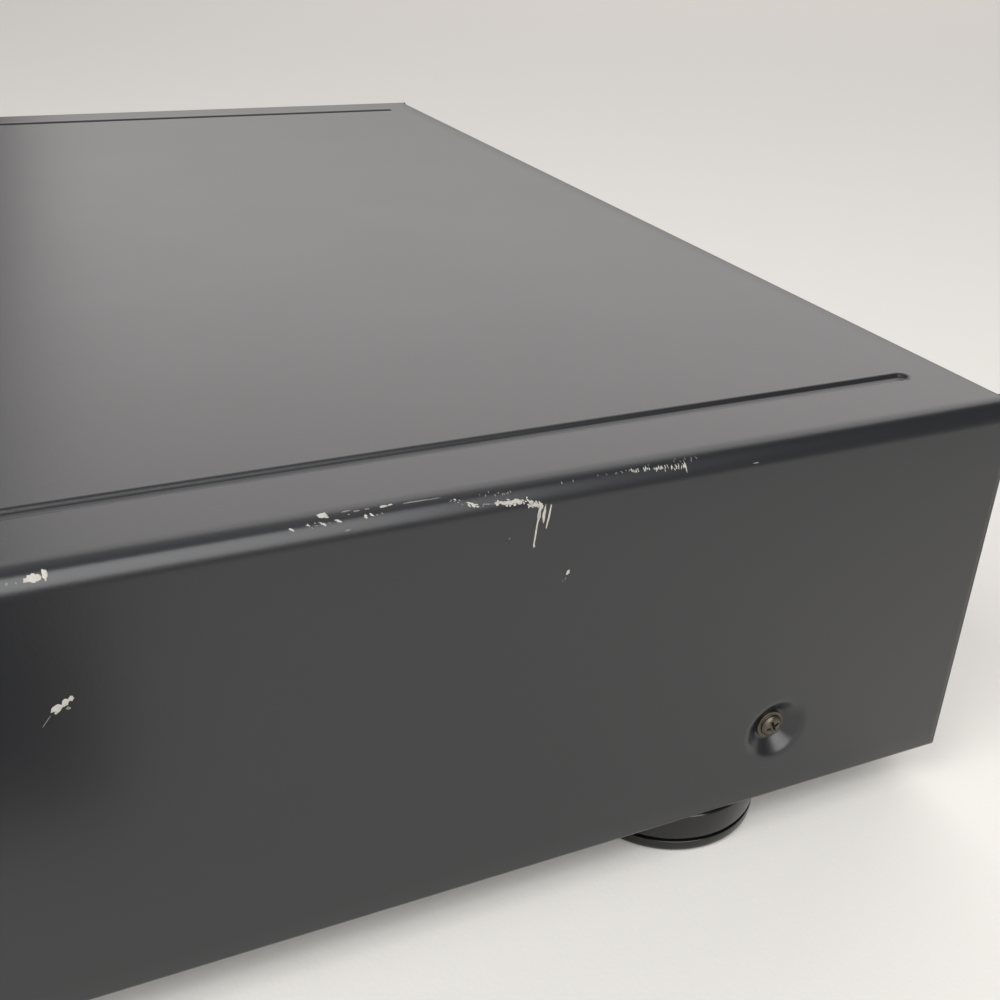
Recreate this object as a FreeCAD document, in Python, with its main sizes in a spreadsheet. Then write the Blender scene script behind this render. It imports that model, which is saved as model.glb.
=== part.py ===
"""Five-disc carousel CD changer, modelled as an assembly of separate pieces.

Frame: +X to the right seen from the front, +Y to the rear, +Z up.  The origin is
the centre of the overall footprint, on the plane the feet stand on.  Millimetres.

A drawer carries a round carousel with five disc pockets.  Behind the middle of the
drawer a lift brings the spindle and the optical pickup up through the slot of one
pocket, and presses the disc against a clamp puck that hangs in a bridge.
"""
import FreeCAD
import Part

import math
import os
import re

import Sketcher

Vector = FreeCAD.Vector
doc = FreeCAD.newDocument("cd_changer")

# --------------------------------------------------------------------------
# Driving dimensions, millimetres
# --------------------------------------------------------------------------
SIZES = [
    # casing
    ("body_width", 430, "width of the steel cover"),
    ("body_depth", 386, "face of the front panel to face of the rear panel"),
    ("body_height", 104, "underside of the base to the top of the cover"),
    ("knob_proud", 10, "reach of the level knob in front of the panel"),
    ("jack_proud", 9, "reach of the phono sockets behind the rear panel"),
    ("sheet", 1, "steel sheet thickness"),
    ("seam", 0.3, "gap left between sheets and panels that do not touch"),
    ("cover_bend", 4, "outer bend radius between the cover's top and sides"),
    ("cover_lip", 11, "height of the flange folded down at the cover's rear"),
    ("lip_inset", 6, "end of that flange from the cover's side"),
    ("groove_width", 5, "width of the stamped groove along each side of the top"),
    ("groove_depth", 1, "depth of the stamped groove"),
    ("groove_inset", 21, "groove's outer edge from the cover's side"),
    ("groove_end", 13.6, "groove's end from the cover's rear and front edge"),
    ("dimple_radius", 8, "mouth of the stamped screw dimple"),
    ("dimple_floor", 4.6, "floor of the stamped screw dimple"),
    ("dimple_depth", 4, "depth of the screw dimple"),
    ("side_screw_back", 57, "rear side screw from the cover's rear edge"),
    ("side_screw_front", 75, "front side screw from the cover's front edge"),
    ("side_screw_up", 21.8, "side screws above the cover's lower edge"),
    ("rear_screw_pitch", 160, "pitch of the three screws along the rear"),
    ("rear_screw_up", 6, "lower rear screws above the base"),
    ("rear_vent_pitch", 9, "pitch of the slots in the rear panel"),
    ("rear_vent_width", 3, "width of a slot in the rear panel"),
    ("rear_vent_height", 34, "height of a slot in the rear panel"),
    ("rear_vent_low", 50, "lower end of the rear slots above the base"),
    ("base_vent_pitch", 12, "pitch of the slots in the base"),
    ("base_vent_width", 4, "width of a slot in the base"),
    ("base_vent_length", 46, "length of a slot in the base"),
    ("bead_height", 1.2, "height of the stiffening beads in the base"),
    ("bead_width", 8, "width of the stiffening beads"),
    ("flange_height", 40, "height of the base's side flanges"),
    ("front_flange_height", 50, "height of the base's front flange"),
    ("rear_flange_height", 12, "height of the base's rear flange"),
    # fasteners
    ("screw_radius", 2, "shank radius of the casing screws"),
    ("screw_head", 3.9, "head radius of the casing screws"),
    ("screw_head_height", 2.4, "head height of the casing screws"),
    ("screw_length", 7, "shank length of the casing screws"),
    ("screw_play", 0.05, "radial play of a shank in its hole"),
    ("recess_width", 1, "width of the cross recess in a screw head"),
    ("recess_length", 4.4, "length of the cross recess"),
    ("recess_depth", 1.3, "depth of the cross recess"),
    # feet
    ("foot_height", 12, "height of the feet"),
    ("foot_radius", 25, "radius of a foot"),
    ("foot_edge", 1.5, "bevel at the top and bottom of a foot"),
    ("foot_ring_level", 3.4, "height of the groove round a foot"),
    ("foot_ring_width", 1, "width of that groove"),
    ("foot_ring_depth", 1.2, "depth of that groove"),
    ("foot_well", 9, "radius of the screw well under a foot"),
    ("foot_web", 4, "thickness left above the screw well"),
    ("foot_inset", 25, "centre of a foot from the cover's side"),
    ("rear_foot_back", 72.5, "centre of a rear foot from the cover's rear edge"),
    ("front_foot_back", 62, "centre of a front foot from the panel face"),
    # clearances and play
    ("play", 0.3, "running gap between pieces that move past each other"),
    ("bore_play", 0.08, "radial play of a shaft in its bore"),
    # front panel
    ("panel_overhang", 2.5, "front panel beyond each side of the cover"),
    ("panel_rise", 0.5, "front panel above the cover"),
    ("panel_drop", 1.5, "front panel below the base"),
    ("panel_depth", 22, "depth of the front panel moulding"),
    ("panel_wall", 3, "thickness of the panel's face"),
    ("panel_rim", 2.5, "thickness of the panel's rim"),
    ("panel_corner", 3, "corner radius of the front panel"),
    ("panel_edge", 1.2, "rounding round the panel's face"),
    ("line_level", 54.5, "styling groove above the base"),
    ("line_width", 1, "width of the styling groove"),
    ("line_depth", 0.8, "depth of the styling groove"),
    ("board_gap", 15, "front board's face behind the panel's face"),
    ("board_thickness", 1.6, "thickness of the circuit boards"),
    ("board_margin", 5, "front board in from the cover's side"),
    ("front_board_low", 3, "front board's lower edge above the base"),
    ("front_board_high", 53, "front board's upper edge above the base"),
    ("boss_radius", 2.5, "radius of the bosses the front board sits on"),
    # display
    ("window_width", "=body_width - 270", "display window"),
    ("window_height", 30, "display window"),
    ("window_thickness", 2.2, "display window"),
    ("window_corner", 2, "display window's corner radius"),
    ("window_seat", 2, "ledge the display window lies on"),
    ("window_play", 0.2, "gap round the display window"),
    ("window_x", -35, "centre of the display window"),
    ("window_level", 36, "centre of the display window above the base"),
    ("tube_width", "=window_width - 20", "display tube"),
    ("tube_height", 24, "display tube"),
    # buttons
    ("button_proud", 2, "reach of a button in front of the panel"),
    ("button_gap", 0.6, "gap round a button in the panel"),
    ("button_travel", 1.2, "travel of a button"),
    ("button_corner", 1.2, "corner radius of a button"),
    ("button_flange", 1.2, "flange that keeps a button in the panel"),
    ("stem_radius", 2, "radius of a button's stem"),
    ("switch_height", 4.5, "height of a tact switch"),
    ("switch_side", 6, "side of a tact switch"),
    ("key_width", 40, "width of a transport button"),
    ("key_height", 11, "height of a transport button"),
    ("key_pitch_x", 46, "pitch of the transport buttons across"),
    ("key_pitch_z", 16.5, "pitch of the transport buttons upwards"),
    ("key_x", "=body_width / 2 - 123", "first column of the transport buttons"),
    ("key_level", 12, "lowest row of the transport buttons above the base"),
    ("disc_key_height", 7, "height of a disc button"),
    ("disc_key_pitch", "=window_width / 5", "pitch of the disc buttons"),
    ("disc_key_width", "=0.75 * disc_key_pitch", "width of a disc button"),
    ("disc_key_level", 10.5, "disc buttons above the base"),
    ("power_width", 28, "width of the power button"),
    ("power_height", 12, "height of the power button"),
    ("power_x", "=35 - body_width / 2", "centre of the power button"),
    ("power_level", 44, "power button above the base"),
    # headphone socket and level control
    ("phones_x", "=23 - body_width / 2", "centre of the headphone socket"),
    ("phones_level", 17, "headphone socket above the base"),
    ("phones_bore", 3.25, "bore radius of the headphone socket"),
    ("phones_nose", 5.5, "radius of the headphone socket's nose"),
    ("phones_ring", 7, "radius of the ring round the socket"),
    ("phones_side", 15, "side of the headphone socket's body"),
    ("phones_depth", 14, "depth of the headphone socket's bore"),
    ("knob_x", "=57 - body_width / 2", "centre of the level knob"),
    ("knob_level", 17, "level knob above the base"),
    ("knob_radius", 9, "radius of the level knob"),
    ("knob_gap", 0.8, "level knob in front of the panel's face"),
    ("knob_edge", 1, "bevel on the level knob"),
    ("shaft_radius", 3, "shaft of the level knob"),
    ("control_side", 17, "side of the level control"),
    ("control_front", 7, "level control behind the panel's inner face"),
    # drawer
    ("carousel_radius", "=min(body_width / 2 - 48; body_depth / 2 - 26)",
     "carousel, as the casing allows"),
    ("tray_front_width", "=body_width - 60", "drawer front"),
    ("tray_front_height", 32, "drawer front"),
    ("tray_front_drop", 2, "drawer front below the drawer's underside"),
    ("tray_front_thickness", 10.5, "drawer front"),
    ("tray_front_gap", 1.5, "gap round the drawer front"),
    ("tray_front_corner", 2.5, "corner radius of the drawer front"),
    ("tray_front_edge", 1.5, "rounding round the drawer front's face"),
    ("tray_proud", 2, "drawer front in front of the panel's face"),
    ("tray_level", 62, "drawer's underside above the base"),
    ("tray_width", "=body_width - 82", "drawer"),
    ("tray_length", "=2 * carousel_radius + 10", "drawer"),
    ("tray_height", 17, "drawer"),
    ("tray_floor", 2, "drawer floor"),
    ("tray_wall", 2, "drawer walls and deck"),
    ("tray_travel", 250, "how far the drawer opens"),
    ("rail_reach", 6, "rail beside the drawer"),
    ("rail_thickness", 3, "rail beside the drawer"),
    ("rail_level", 10, "rail above the drawer's underside"),
    ("rail_start", 34, "front end of the rail behind the drawer's front"),
    ("rail_slip", 0.5, "gap between a guide and the drawer's side"),
    ("well_gap", 2, "gap round the carousel in its well"),
    ("opening_left", 32, "drawer's lift opening left of the spindle"),
    ("opening_right", 84, "drawer's lift opening right of the spindle"),
    ("opening_front", 40, "drawer's lift opening in front of the spindle"),
    # carousel
    ("carousel_setback", "=carousel_radius + 14", "carousel's centre behind the panel's face"),
    ("carousel_plate", 5, "thickness of the carousel"),
    ("pocket_radius", 60.6, "disc pocket"),
    ("pocket_circle", "=carousel_radius - 63", "disc centres from the carousel's centre"),
    ("pocket_depth", 3, "disc pocket"),
    ("slot_half", 18, "half the width of a pocket's slot"),
    ("slot_reach", 66.5, "far end of the slot from the disc's centre"),
    ("hub_radius", 24, "raised hub of the carousel"),
    ("hub_rise", 2, "raised hub above the carousel"),
    ("hub_boss", 12, "boss under the carousel"),
    ("post_radius", 5, "post the carousel turns on"),
    ("post_shoulder", 9, "shoulder of that post"),
    ("cap_radius", 20, "cap on the post"),
    ("cap_height", 3, "cap on the post"),
    ("cap_dome", 1.5, "bevel of the cap"),
    # gears and belts
    ("gear_module", 1.5, "module of the drawer's and carousel's gears"),
    ("ring_teeth", 80, "teeth of the carousel's ring gear"),
    ("ring_bore", 50, "inner radius of the ring gear"),
    ("pinion_teeth", 18, "teeth of the carousel's pinion"),
    ("loading_teeth", 20, "teeth of the drawer's gear"),
    ("backlash", 0.4, "gap between meshing flanks, along the pitch line"),
    ("ring_height", 5.2, "ring gear under the carousel"),
    ("axle_radius", 2, "fixed pins the gears turn on"),
    ("motor_shaft", 1, "motor shafts"),
    ("motor_radius", 12, "motors"),
    ("motor_length", 26, "motors"),
    ("motor_boss", 3, "boss at a motor's shaft"),
    ("motor_boss_height", 1.2, "boss at a motor's shaft"),
    ("shaft_depth", 6, "depth of a motor shaft inside its motor"),
    ("motor_pulley", 5, "belt radius of a motor's pulley"),
    ("belt_width", 1.6, "side of a belt's section"),
    ("belt_play", 0.08, "belt clear of its pulley's groove"),
    ("pulley_lip", 0.9, "lips each side of a pulley's groove"),
    ("pulley_rim", 1.6, "lips of a pulley beyond its groove"),
    ("pinion_pulley", 12, "belt radius of the carousel pinion's pulley"),
    ("carousel_motor_x", 104, "carousel motor right of the middle"),
    ("carousel_motor_back", "=1.5 * carousel_radius - 133", "carousel motor behind the carousel's centre"),
    ("rack_pitch_gap", 2.2, "rack's pitch line from the drawer's side"),
    ("rack_level", 1, "rack above the drawer's underside"),
    ("rack_height", 5, "rack"),
    ("rack_spare", 8, "rack beyond its use at each end"),
    ("loading_gear_back", 88.5, "drawer's gear behind the panel's face"),
    ("loading_pulley", 16, "belt radius of the drawer gear's pulley"),
    ("loading_motor_x", "=65 - body_width / 2", "loading motor"),
    # loader frame
    ("wall_gap", 8, "frame's side walls from the drawer's rails"),
    ("wall_thickness", 3, "frame's side walls"),
    ("wall_rise", 1, "frame's side walls above the drawer"),
    ("frame_front", 27.5, "front end of the frame behind the panel's face"),
    ("frame_back", 342.5, "rear end of the frame behind the panel's face"),
    ("guide_thickness", 3, "frame's lower drawer guides"),
    ("upper_guide_thickness", 2, "frame's upper drawer guides"),
    ("beam_level", 18, "frame's cross beams above the base"),
    ("beam_height", 4, "frame's cross beams"),
    ("beam_depth", 7, "frame's cross beams"),
    ("shelf_drop", 10, "shelf of the drawer's gear below the drawer"),
    ("shelf_thickness", 3, "shelf of the drawer's gear"),
    ("shelf_half", 20, "half the depth of that shelf"),
    ("shelf_right", "=81 - body_width / 2", "right end of that shelf"),
    ("shelf_left", 4, "left end of that shelf in from the cover's side"),
    # clamp
    ("bridge_half", 29, "half the depth of the clamp bridge"),
    ("bridge_level", 11, "clamp bridge above the carousel's plate"),
    ("bridge_thickness", 2, "clamp bridge"),
    ("bridge_bore", 7, "puck's hole in the bridge"),
    ("puck_radius", 15, "clamp puck"),
    ("puck_pad", 2, "clamp puck's lower flange"),
    ("puck_body", 9, "clamp puck's middle"),
    ("puck_neck", 6, "clamp puck's neck"),
    ("puck_flange", 10, "clamp puck's upper flange"),
    ("disc_thickness", 1.2, "disc the clamp holds"),
    ("clamp_gap", 0.1, "puck above a disc"),
    # lift
    ("lift_travel", 11, "how far the lift rises"),
    ("disc_lift", 3.5, "disc above its pocket's floor when played"),
    ("cam_travel", 25, "how far the lift cam slides"),
    ("carriage_half", 32, "half the depth of the lift carriage"),
    ("carriage_left", 26, "carriage left of the spindle"),
    ("carriage_right", 76, "carriage right of the spindle"),
    ("carriage_drop", 8.5, "carriage's top below the spindle table's top"),
    ("carriage_plate", 3, "lift carriage"),
    ("skirt_thickness", 2, "carriage's side skirts"),
    ("skirt_height", 19, "carriage's side skirts"),
    ("pin_radius", 2, "lift pins"),
    ("pin_drop", 16, "lift pins below the carriage's top"),
    ("pin_left", -8, "first pair of lift pins right of the spindle"),
    ("pin_right", 58, "second pair of lift pins"),
    ("cam_plate", 2, "lift cam's side plates"),
    ("cam_gap", 1, "lift cam outside the skirts"),
    ("cam_low", 33, "lift cam's lower edge above the base"),
    ("cam_high", 61, "lift cam's upper edge above the base"),
    ("cam_left", 14, "lift cam left of the spindle"),
    ("cam_right", 88, "lift cam right of the spindle"),
    ("cam_tie", 54, "width of the plate that joins the cam's sides"),
    ("guide_gap", 1.5, "lift guides outside the cam"),
    ("guide_left", 30, "lift guides left of the spindle"),
    ("guide_right", 80, "lift guides right of the spindle"),
    # spindle and pickup
    ("table_radius", 14, "spindle table"),
    ("table_thickness", 2, "spindle table"),
    ("table_hub", 5, "hub below the spindle table"),
    ("cone_radius", 7.3, "centring cone"),
    ("cone_tip", 6.3, "centring cone's tip"),
    ("cone_height", 3, "centring cone"),
    ("spindle_motor_length", 11, "spindle motor"),
    ("window_left", 15, "pickup's window in the carriage"),
    ("window_right", 68, "pickup's window in the carriage"),
    ("window_half", 10, "pickup's window in the carriage"),
    ("rod_radius", 1.5, "sled rods"),
    ("rod_offset", 24, "sled rods each side of the spindle"),
    ("rod_drop", 6, "sled rods below the carriage's top"),
    ("holder_left", 4, "left holders of the sled rods right of the spindle"),
    ("holder_right", 72, "right holders of the sled rods"),
    ("holder_width", 4, "holders of the sled rods"),
    ("holder_half", 4, "half the depth of those holders"),
    ("lens_start", 24, "lens from the spindle at the first track"),
    ("pickup_half", 11, "half the width of the pickup along the rods"),
    ("pickup_reach", 28, "half the length of the pickup across the rods"),
    ("pickup_height", 10, "pickup's body"),
    ("pickup_gap", 3.5, "pickup's body below the carriage's top"),
    ("turret_half", 7, "half the width of the pickup's turret"),
    ("turret_reach", 8, "half the length of the pickup's turret"),
    ("turret_rise", 5, "pickup's turret above the carriage"),
    ("lens_radius", 3.3, "objective lens"),
    ("lens_rise", 2, "objective lens above its turret"),
    ("screw_offset", 19.5, "sled screw behind the spindle"),
    ("screw_drop", 10.5, "sled screw below the carriage's top"),
    ("sled_screw_radius", 1.5, "sled screw"),
    ("sled_motor_radius", 6, "sled motor"),
    ("sled_motor_length", 22, "sled motor"),
    # rear sockets
    ("jack_x", "=body_width / 2 - 119", "first phono socket right of the middle"),
    ("jack_pitch", 22, "pitch of the phono sockets"),
    ("jack_level", 30, "phono sockets above the base"),
    ("jack_radius", 4.15, "outer radius of a phono socket's shell"),
    ("jack_wall", 0.75, "wall of a phono socket's shell"),
    ("jack_bore", 1.65, "pin hole of a phono socket"),
    ("jack_bore_depth", 7.8, "depth of the pin hole"),
    ("jack_ring", 6.2, "coloured ring round a phono socket"),
    ("jack_ring_height", 1.2, "coloured ring"),
    ("jack_block_height", 20, "sockets' moulded block"),
    ("jack_block_half", 10, "half the width of a socket's block"),
    ("jack_block_front", 1.5, "sockets' block outside the rear panel"),
    ("jack_block_depth", 14, "sockets' block inside the rear panel"),
    ("inlet_x", "=55 - body_width / 2", "mains inlet left of the middle"),
    ("inlet_level", 32, "mains inlet above the base"),
    ("inlet_width", 26, "mains inlet's flange"),
    ("inlet_height", 16, "mains inlet's flange"),
    ("inlet_flange", 1.5, "mains inlet's flange"),
    ("inlet_body_width", 20, "mains inlet's body"),
    ("inlet_body_height", 12, "mains inlet's body"),
    ("inlet_depth", 16, "mains inlet's body inside the panel"),
    ("inlet_socket_width", 15.6, "mains inlet's socket"),
    ("inlet_socket_height", 8, "mains inlet's socket"),
    ("inlet_socket_depth", 12, "mains inlet's socket"),
    ("inlet_pin_radius", 1.2, "mains inlet's pins"),
    ("inlet_pin_pitch", 8.6, "mains inlet's pins"),
    ("inlet_pin_length", 10, "mains inlet's pins"),
    # electronics
    ("main_board_left", -100, "main board"),
    ("main_board_right", "=body_width / 2 - 45", "main board"),
    ("main_board_front", 42.5, "main board behind the panel's face"),
    ("main_board_length", "=carousel_setback + pocket_circle - 110", "main board"),
    ("standoff", 9, "main board above the base's sheet"),
    ("standoff_radius", 3, "standoffs under the main board"),
    ("standoff_inset", 8, "standoffs in from the main board's corners"),
    ("transformer_x", "=67 - body_width / 2", "centre of the power transformer"),
    ("transformer_back", 285, "centre of the transformer behind the panel's face"),
    ("transformer_width", 58, "transformer's core"),
    ("transformer_length", 50, "transformer's core"),
    ("transformer_height", 44, "transformer's core"),
    ("coil_swell", 7, "transformer's coil beyond its core"),
    ("coil_width", 34, "transformer's coil"),
    ("frame_foot", 8, "transformer's mounting feet"),
]

sheet = doc.addObject("Spreadsheet::Sheet", "sizes")
for row, (alias, value, note) in enumerate(SIZES, 1):
    sheet.set(f"A{row}", alias)
    sheet.set(f"B{row}", str(value))
    sheet.set(f"C{row}", note)
    sheet.setAlias(f"B{row}", alias)
doc.recompute()

ALIASES = {alias for alias, _, _ in SIZES}
WORD = re.compile(r"[a-z_][a-z_0-9]*")


def formula(text):
    """A formula over the sheet's aliases, as FreeCAD's expressions spell it."""
    return WORD.sub(lambda m: f"sizes.{m[0]}" if m[0] in ALIASES else m[0], str(text))


def number(text):
    """The value in millimetres of a formula over the sheet's aliases."""
    values = {alias: float(sheet.get(alias)) for alias in WORD.findall(str(text)) if alias in ALIASES}
    return float(sheet.evalExpression(formula(text))) if values else float(sheet.evalExpression(str(text)))


# --------------------------------------------------------------------------
# Planes and centres that many pieces are placed from
# --------------------------------------------------------------------------
FRONT = "((knob_proud - body_depth - jack_proud) / 2)"
REAR = "((knob_proud + body_depth - jack_proud) / 2)"
SIDE = "(body_width / 2)"
BASE = "foot_height"
FLOOR = "(foot_height + sheet)"
TOP = "(foot_height + body_height)"
PANEL_BACK = f"({FRONT} + panel_depth)"
PANEL_INSIDE = f"({FRONT} + panel_wall)"
BOARD_FACE = f"({FRONT} + board_gap)"
COVER_FRONT = f"({PANEL_BACK} + seam)"
COVER_REAR = f"({REAR} + sheet)"
FLANGE = f"({SIDE} - dimple_depth - sheet)"
TRAY_LOW = "(foot_height + tray_level)"
TRAY_HIGH = f"({TRAY_LOW} + tray_height)"
TRAY_SIDE = "(tray_width / 2)"
TRAY_FRONT = f"({FRONT} - tray_proud + tray_front_thickness)"
TRAY_REAR = f"({TRAY_FRONT} + tray_length)"
TRAY_TOP_OF_FLOOR = f"({TRAY_LOW} + tray_floor)"
RAIL_LOW = f"({TRAY_LOW} + rail_level)"
RAIL_SIDE = f"({TRAY_SIDE} + rail_reach)"
WALL_INSIDE = f"({RAIL_SIDE} + wall_gap)"
WALL_OUTSIDE = f"({WALL_INSIDE} + wall_thickness)"
WALL_TOP = f"({TRAY_HIGH} + wall_rise)"
CENTRE = f"({FRONT} + carousel_setback)"
SPINDLE = f"({CENTRE} + pocket_circle)"
CAROUSEL_LOW = f"({TRAY_HIGH} - carousel_plate)"
PULLEY_HEIGHT = "(2 * pulley_lip + belt_width + 2 * play)"
PINION_X = "(gear_module * (ring_teeth + pinion_teeth) / 2)"
TRAY_PULLEY = f"({TRAY_TOP_OF_FLOOR} + play)"
CAROUSEL_MOTOR_Y = f"({CENTRE} + carousel_motor_back)"
RACK_LINE = f"(-{TRAY_SIDE} - rack_pitch_gap)"
LOADING_X = f"({RACK_LINE} - gear_module * loading_teeth / 2)"
LOADING_Y = f"({FRONT} + loading_gear_back)"
SHELF_TOP = f"({TRAY_LOW} - shelf_drop)"
SHELF_LOW = f"({SHELF_TOP} - shelf_thickness)"
LOADING_PULLEY = f"({SHELF_TOP} + play)"
DISC_PLANE = f"({TRAY_HIGH} - pocket_depth + disc_lift)"
TABLE_TOP = f"({DISC_PLANE} - lift_travel)"
CARRIAGE_TOP = f"({TABLE_TOP} - carriage_drop)"
CARRIAGE_LOW = f"({CARRIAGE_TOP} - carriage_plate)"
PIN_LEVEL = f"({CARRIAGE_TOP} - pin_drop)"
CAM_INSIDE = "(carriage_half + cam_gap)"
CAM_OUTSIDE = f"({CAM_INSIDE} + cam_plate)"
GUIDE_INSIDE = f"({CAM_OUTSIDE} + guide_gap)"
GUIDE_OUTSIDE = f"({GUIDE_INSIDE} + wall_thickness)"
BRIDGE_LOW = f"({TRAY_HIGH} + bridge_level)"
BRIDGE_TOP = f"({BRIDGE_LOW} + bridge_thickness)"
PUCK_LOW = f"({DISC_PLANE} + disc_thickness + clamp_gap)"

# Turns that lay a shape's own Z axis along another direction
TURN = {
    "+x": FreeCAD.Rotation(Vector(0, 1, 0), 90),
    "-x": FreeCAD.Rotation(Vector(0, 1, 0), -90),
    "+y": FreeCAD.Rotation(Vector(1, 0, 0), -90),
    "-y": FreeCAD.Rotation(Vector(1, 0, 0), 90),
    "+z": FreeCAD.Rotation(),
    "-z": FreeCAD.Rotation(Vector(1, 0, 0), 180),
}


# --------------------------------------------------------------------------
# Shapes bound to the sheet
# --------------------------------------------------------------------------
def bind(item, field, text):
    """Drive one property of an item by a formula."""
    item.setExpression(field, formula(text))


def move(item, x="0", y="0", z="0", turn=None):
    """Turn an item about the origin, then shift it by three formulas."""
    item.Placement = FreeCAD.Placement(Vector(), turn or FreeCAD.Rotation())
    for axis, text in zip("xyz", (x, y, z)):
        if text != "0":
            bind(item, f"Placement.Base.{axis}", text)
    return item


def block(name, x, y, z):
    """A box from a low and a high formula on each axis."""
    box = doc.addObject("Part::Box", name)
    for side, (low, high) in (("Length", x), ("Width", y), ("Height", z)):
        bind(box, side, f"({high}) - ({low})")
    return move(box, x[0], y[0], z[0])


def rod(name, radius, centre, span, axis="z"):
    """A cylinder along an axis; centre names the other two coordinates in x, y, z order."""
    cylinder = doc.addObject("Part::Cylinder", name)
    bind(cylinder, "Radius", radius)
    bind(cylinder, "Height", f"({span[1]}) - ({span[0]})")
    place = list(centre)
    place.insert("xyz".index(axis), span[0])
    return move(cylinder, *place, turn=TURN["+" + axis])


def cone(name, near, far, length):
    """A cone on the Z axis, from one radius at the origin to another."""
    item = doc.addObject("Part::Cone", name)
    bind(item, "Radius1", near)
    bind(item, "Radius2", far)
    bind(item, "Height", length)
    return item


def union(name, *items):
    """One solid from overlapping or touching shapes."""
    fuse = doc.addObject("Part::MultiFuse", name)
    fuse.Shapes = list(items)
    fuse.Refine = True
    return fuse


def without(name, base, *tools):
    """The base less every tool."""
    cut = doc.addObject("Part::Cut", name)
    cut.Base = base
    cut.Tool = tools[0] if len(tools) == 1 else union(f"{name}_cutter", *tools)
    cut.Refine = True
    return cut


def group(name, *items):
    """Separate solids kept as one piece."""
    compound = doc.addObject("Part::Compound", name)
    compound.Links = list(items)
    return compound


def outline(body, plane, points):
    """A closed polygon in one of the body's base planes, every corner driven by formulas."""
    sketch = body.newObject("Sketcher::SketchObject", "outline")
    support = next(o for o in body.Origin.OriginFeatures if o.Role == plane)
    sketch.AttachmentSupport = [(support, "")]
    sketch.MapMode = "FlatFace"
    corners = [Vector(number(u), number(v)) for u, v in points]
    count = len(corners)
    for i in range(count):
        sketch.addGeometry(Part.LineSegment(corners[i], corners[(i + 1) % count]))
    for i in range(count):
        sketch.addConstraint(Sketcher.Constraint("Coincident", i, 2, (i + 1) % count, 1))
    for i, corner in enumerate(points):
        for kind, text, axis in zip(("DistanceX", "DistanceY"), corner, (-2, -1)):
            if text == "0":
                sketch.addConstraint(Sketcher.Constraint("PointOnObject", i, 1, axis))
                continue
            limit = Sketcher.Constraint(kind, -1, 1, i, 1, number(text))
            index = sketch.addConstraint(limit)
            bind(sketch, f"Constraints[{index}]", text)
    return sketch


def plate(name, plane, points, low, high):
    """A polygon drawn in a base plane and padded between two formulas along its normal."""
    body = doc.addObject("PartDesign::Body", name)
    pad = body.newObject("PartDesign::Pad", "pad")
    pad.Profile = outline(body, plane, points)
    bind(pad, "Length", f"({high}) - ({low})")
    axis, start = {"XZ_Plane": ("y", high), "XY_Plane": ("z", low), "YZ_Plane": ("x", low)}[plane]
    return move(body, **{axis: start})


def rounded(body, radius, chosen):
    """Round the edges of the body's tip that a test picks, in the body's own frame."""
    doc.recompute()
    tip = body.Tip
    names = [f"Edge{i}" for i, edge in enumerate(tip.Shape.Edges, 1) if chosen(edge)]
    fillet = body.newObject("PartDesign::Fillet", "rounding")
    fillet.Base = (tip, names)
    bind(fillet, "Radius", radius)
    return body


def along(axis):
    """A test for straight edges that run along an axis."""
    def chosen(edge):
        first, last = edge.Vertexes[0].Point, edge.Vertexes[-1].Point
        run = (last - first).normalize() if last != first else Vector()
        return abs(run.dot(axis)) > 0.999
    return chosen


def key_block(name, x, y, z, corner, edge):
    """A block whose four corners seen from the front are rounded, and its front edge too."""
    points = [(x[0], z[0]), (x[1], z[0]), (x[1], z[1]), (x[0], z[1])]
    body = plate(name, "XZ_Plane", points, *y)
    rounded(body, corner, along(Vector(0, 1, 0)))
    face = number(y[0]) - number(y[1])
    rounded(body, edge, lambda e: max(abs(v.Point.y - face) for v in e.Vertexes) < 1e-6)
    return body


def turned(name, profile, x="0", y="0", z="0", axis="+z"):
    """A solid of revolution from (radius, height) corners, its axis laid along a direction."""
    body = doc.addObject("PartDesign::Body", name)
    sketch = outline(body, "XZ_Plane", profile)
    revolution = body.newObject("PartDesign::Revolution", "revolution")
    revolution.Profile = sketch
    revolution.ReferenceAxis = (sketch, ["V_Axis"])
    revolution.Angle = 360
    return move(body, x, y, z, TURN[axis])


def made(name, shape):
    """A shape worked out from the sheet's values, kept as a feature."""
    item = doc.addObject("Part::Feature", name)
    item.Shape = shape
    return item


PIECES = {}


def piece(node, item):
    """Give a finished item its node's name, and keep it for the export."""
    item.Label = node
    PIECES[node] = item
    return item


# --------------------------------------------------------------------------
# Gears, racks, belts, motors and screws
# --------------------------------------------------------------------------
PRESSURE = math.radians(20)
ADDENDUM = 0.9
DEDENDUM = 1.25


def involute(angle):
    return math.tan(angle) - angle


def tooth_width(module):
    """Tooth thickness on the pitch line, less its share of the backlash."""
    return math.pi * module / 2 - number("backlash") / 2


def gear(name, teeth, first, x, y, low, high):
    """A spur gear with straight-sided steps for its flanks; a tooth points at angle first."""
    module = number("gear_module")
    count = int(number(teeth))
    pitch = module * count / 2
    base = pitch * math.cos(PRESSURE)
    root = pitch - DEDENDUM * module
    start = max(root, base)
    radii = sorted({root, start, (start + pitch) / 2, pitch, pitch + ADDENDUM * module})

    def half_angle(radius):
        leaning = math.acos(base / max(radius, base))
        return tooth_width(module) / (2 * pitch) + involute(PRESSURE) - involute(leaning)

    corners = []
    for tooth in range(count):
        middle = math.radians(first) + 2 * math.pi * tooth / count
        flank = [(radius, -half_angle(radius)) for radius in radii]
        flank += [(radius, -angle) for radius, angle in reversed(flank)]
        for radius, angle in flank:
            corners.append(Vector(radius * math.cos(middle + angle), radius * math.sin(middle + angle)))
    face = Part.Face(Part.makePolygon(corners + corners[:1]))
    body = made(name, face.extrude(Vector(0, 0, number(high) - number(low))))
    return move(body, x, y, low)


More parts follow.
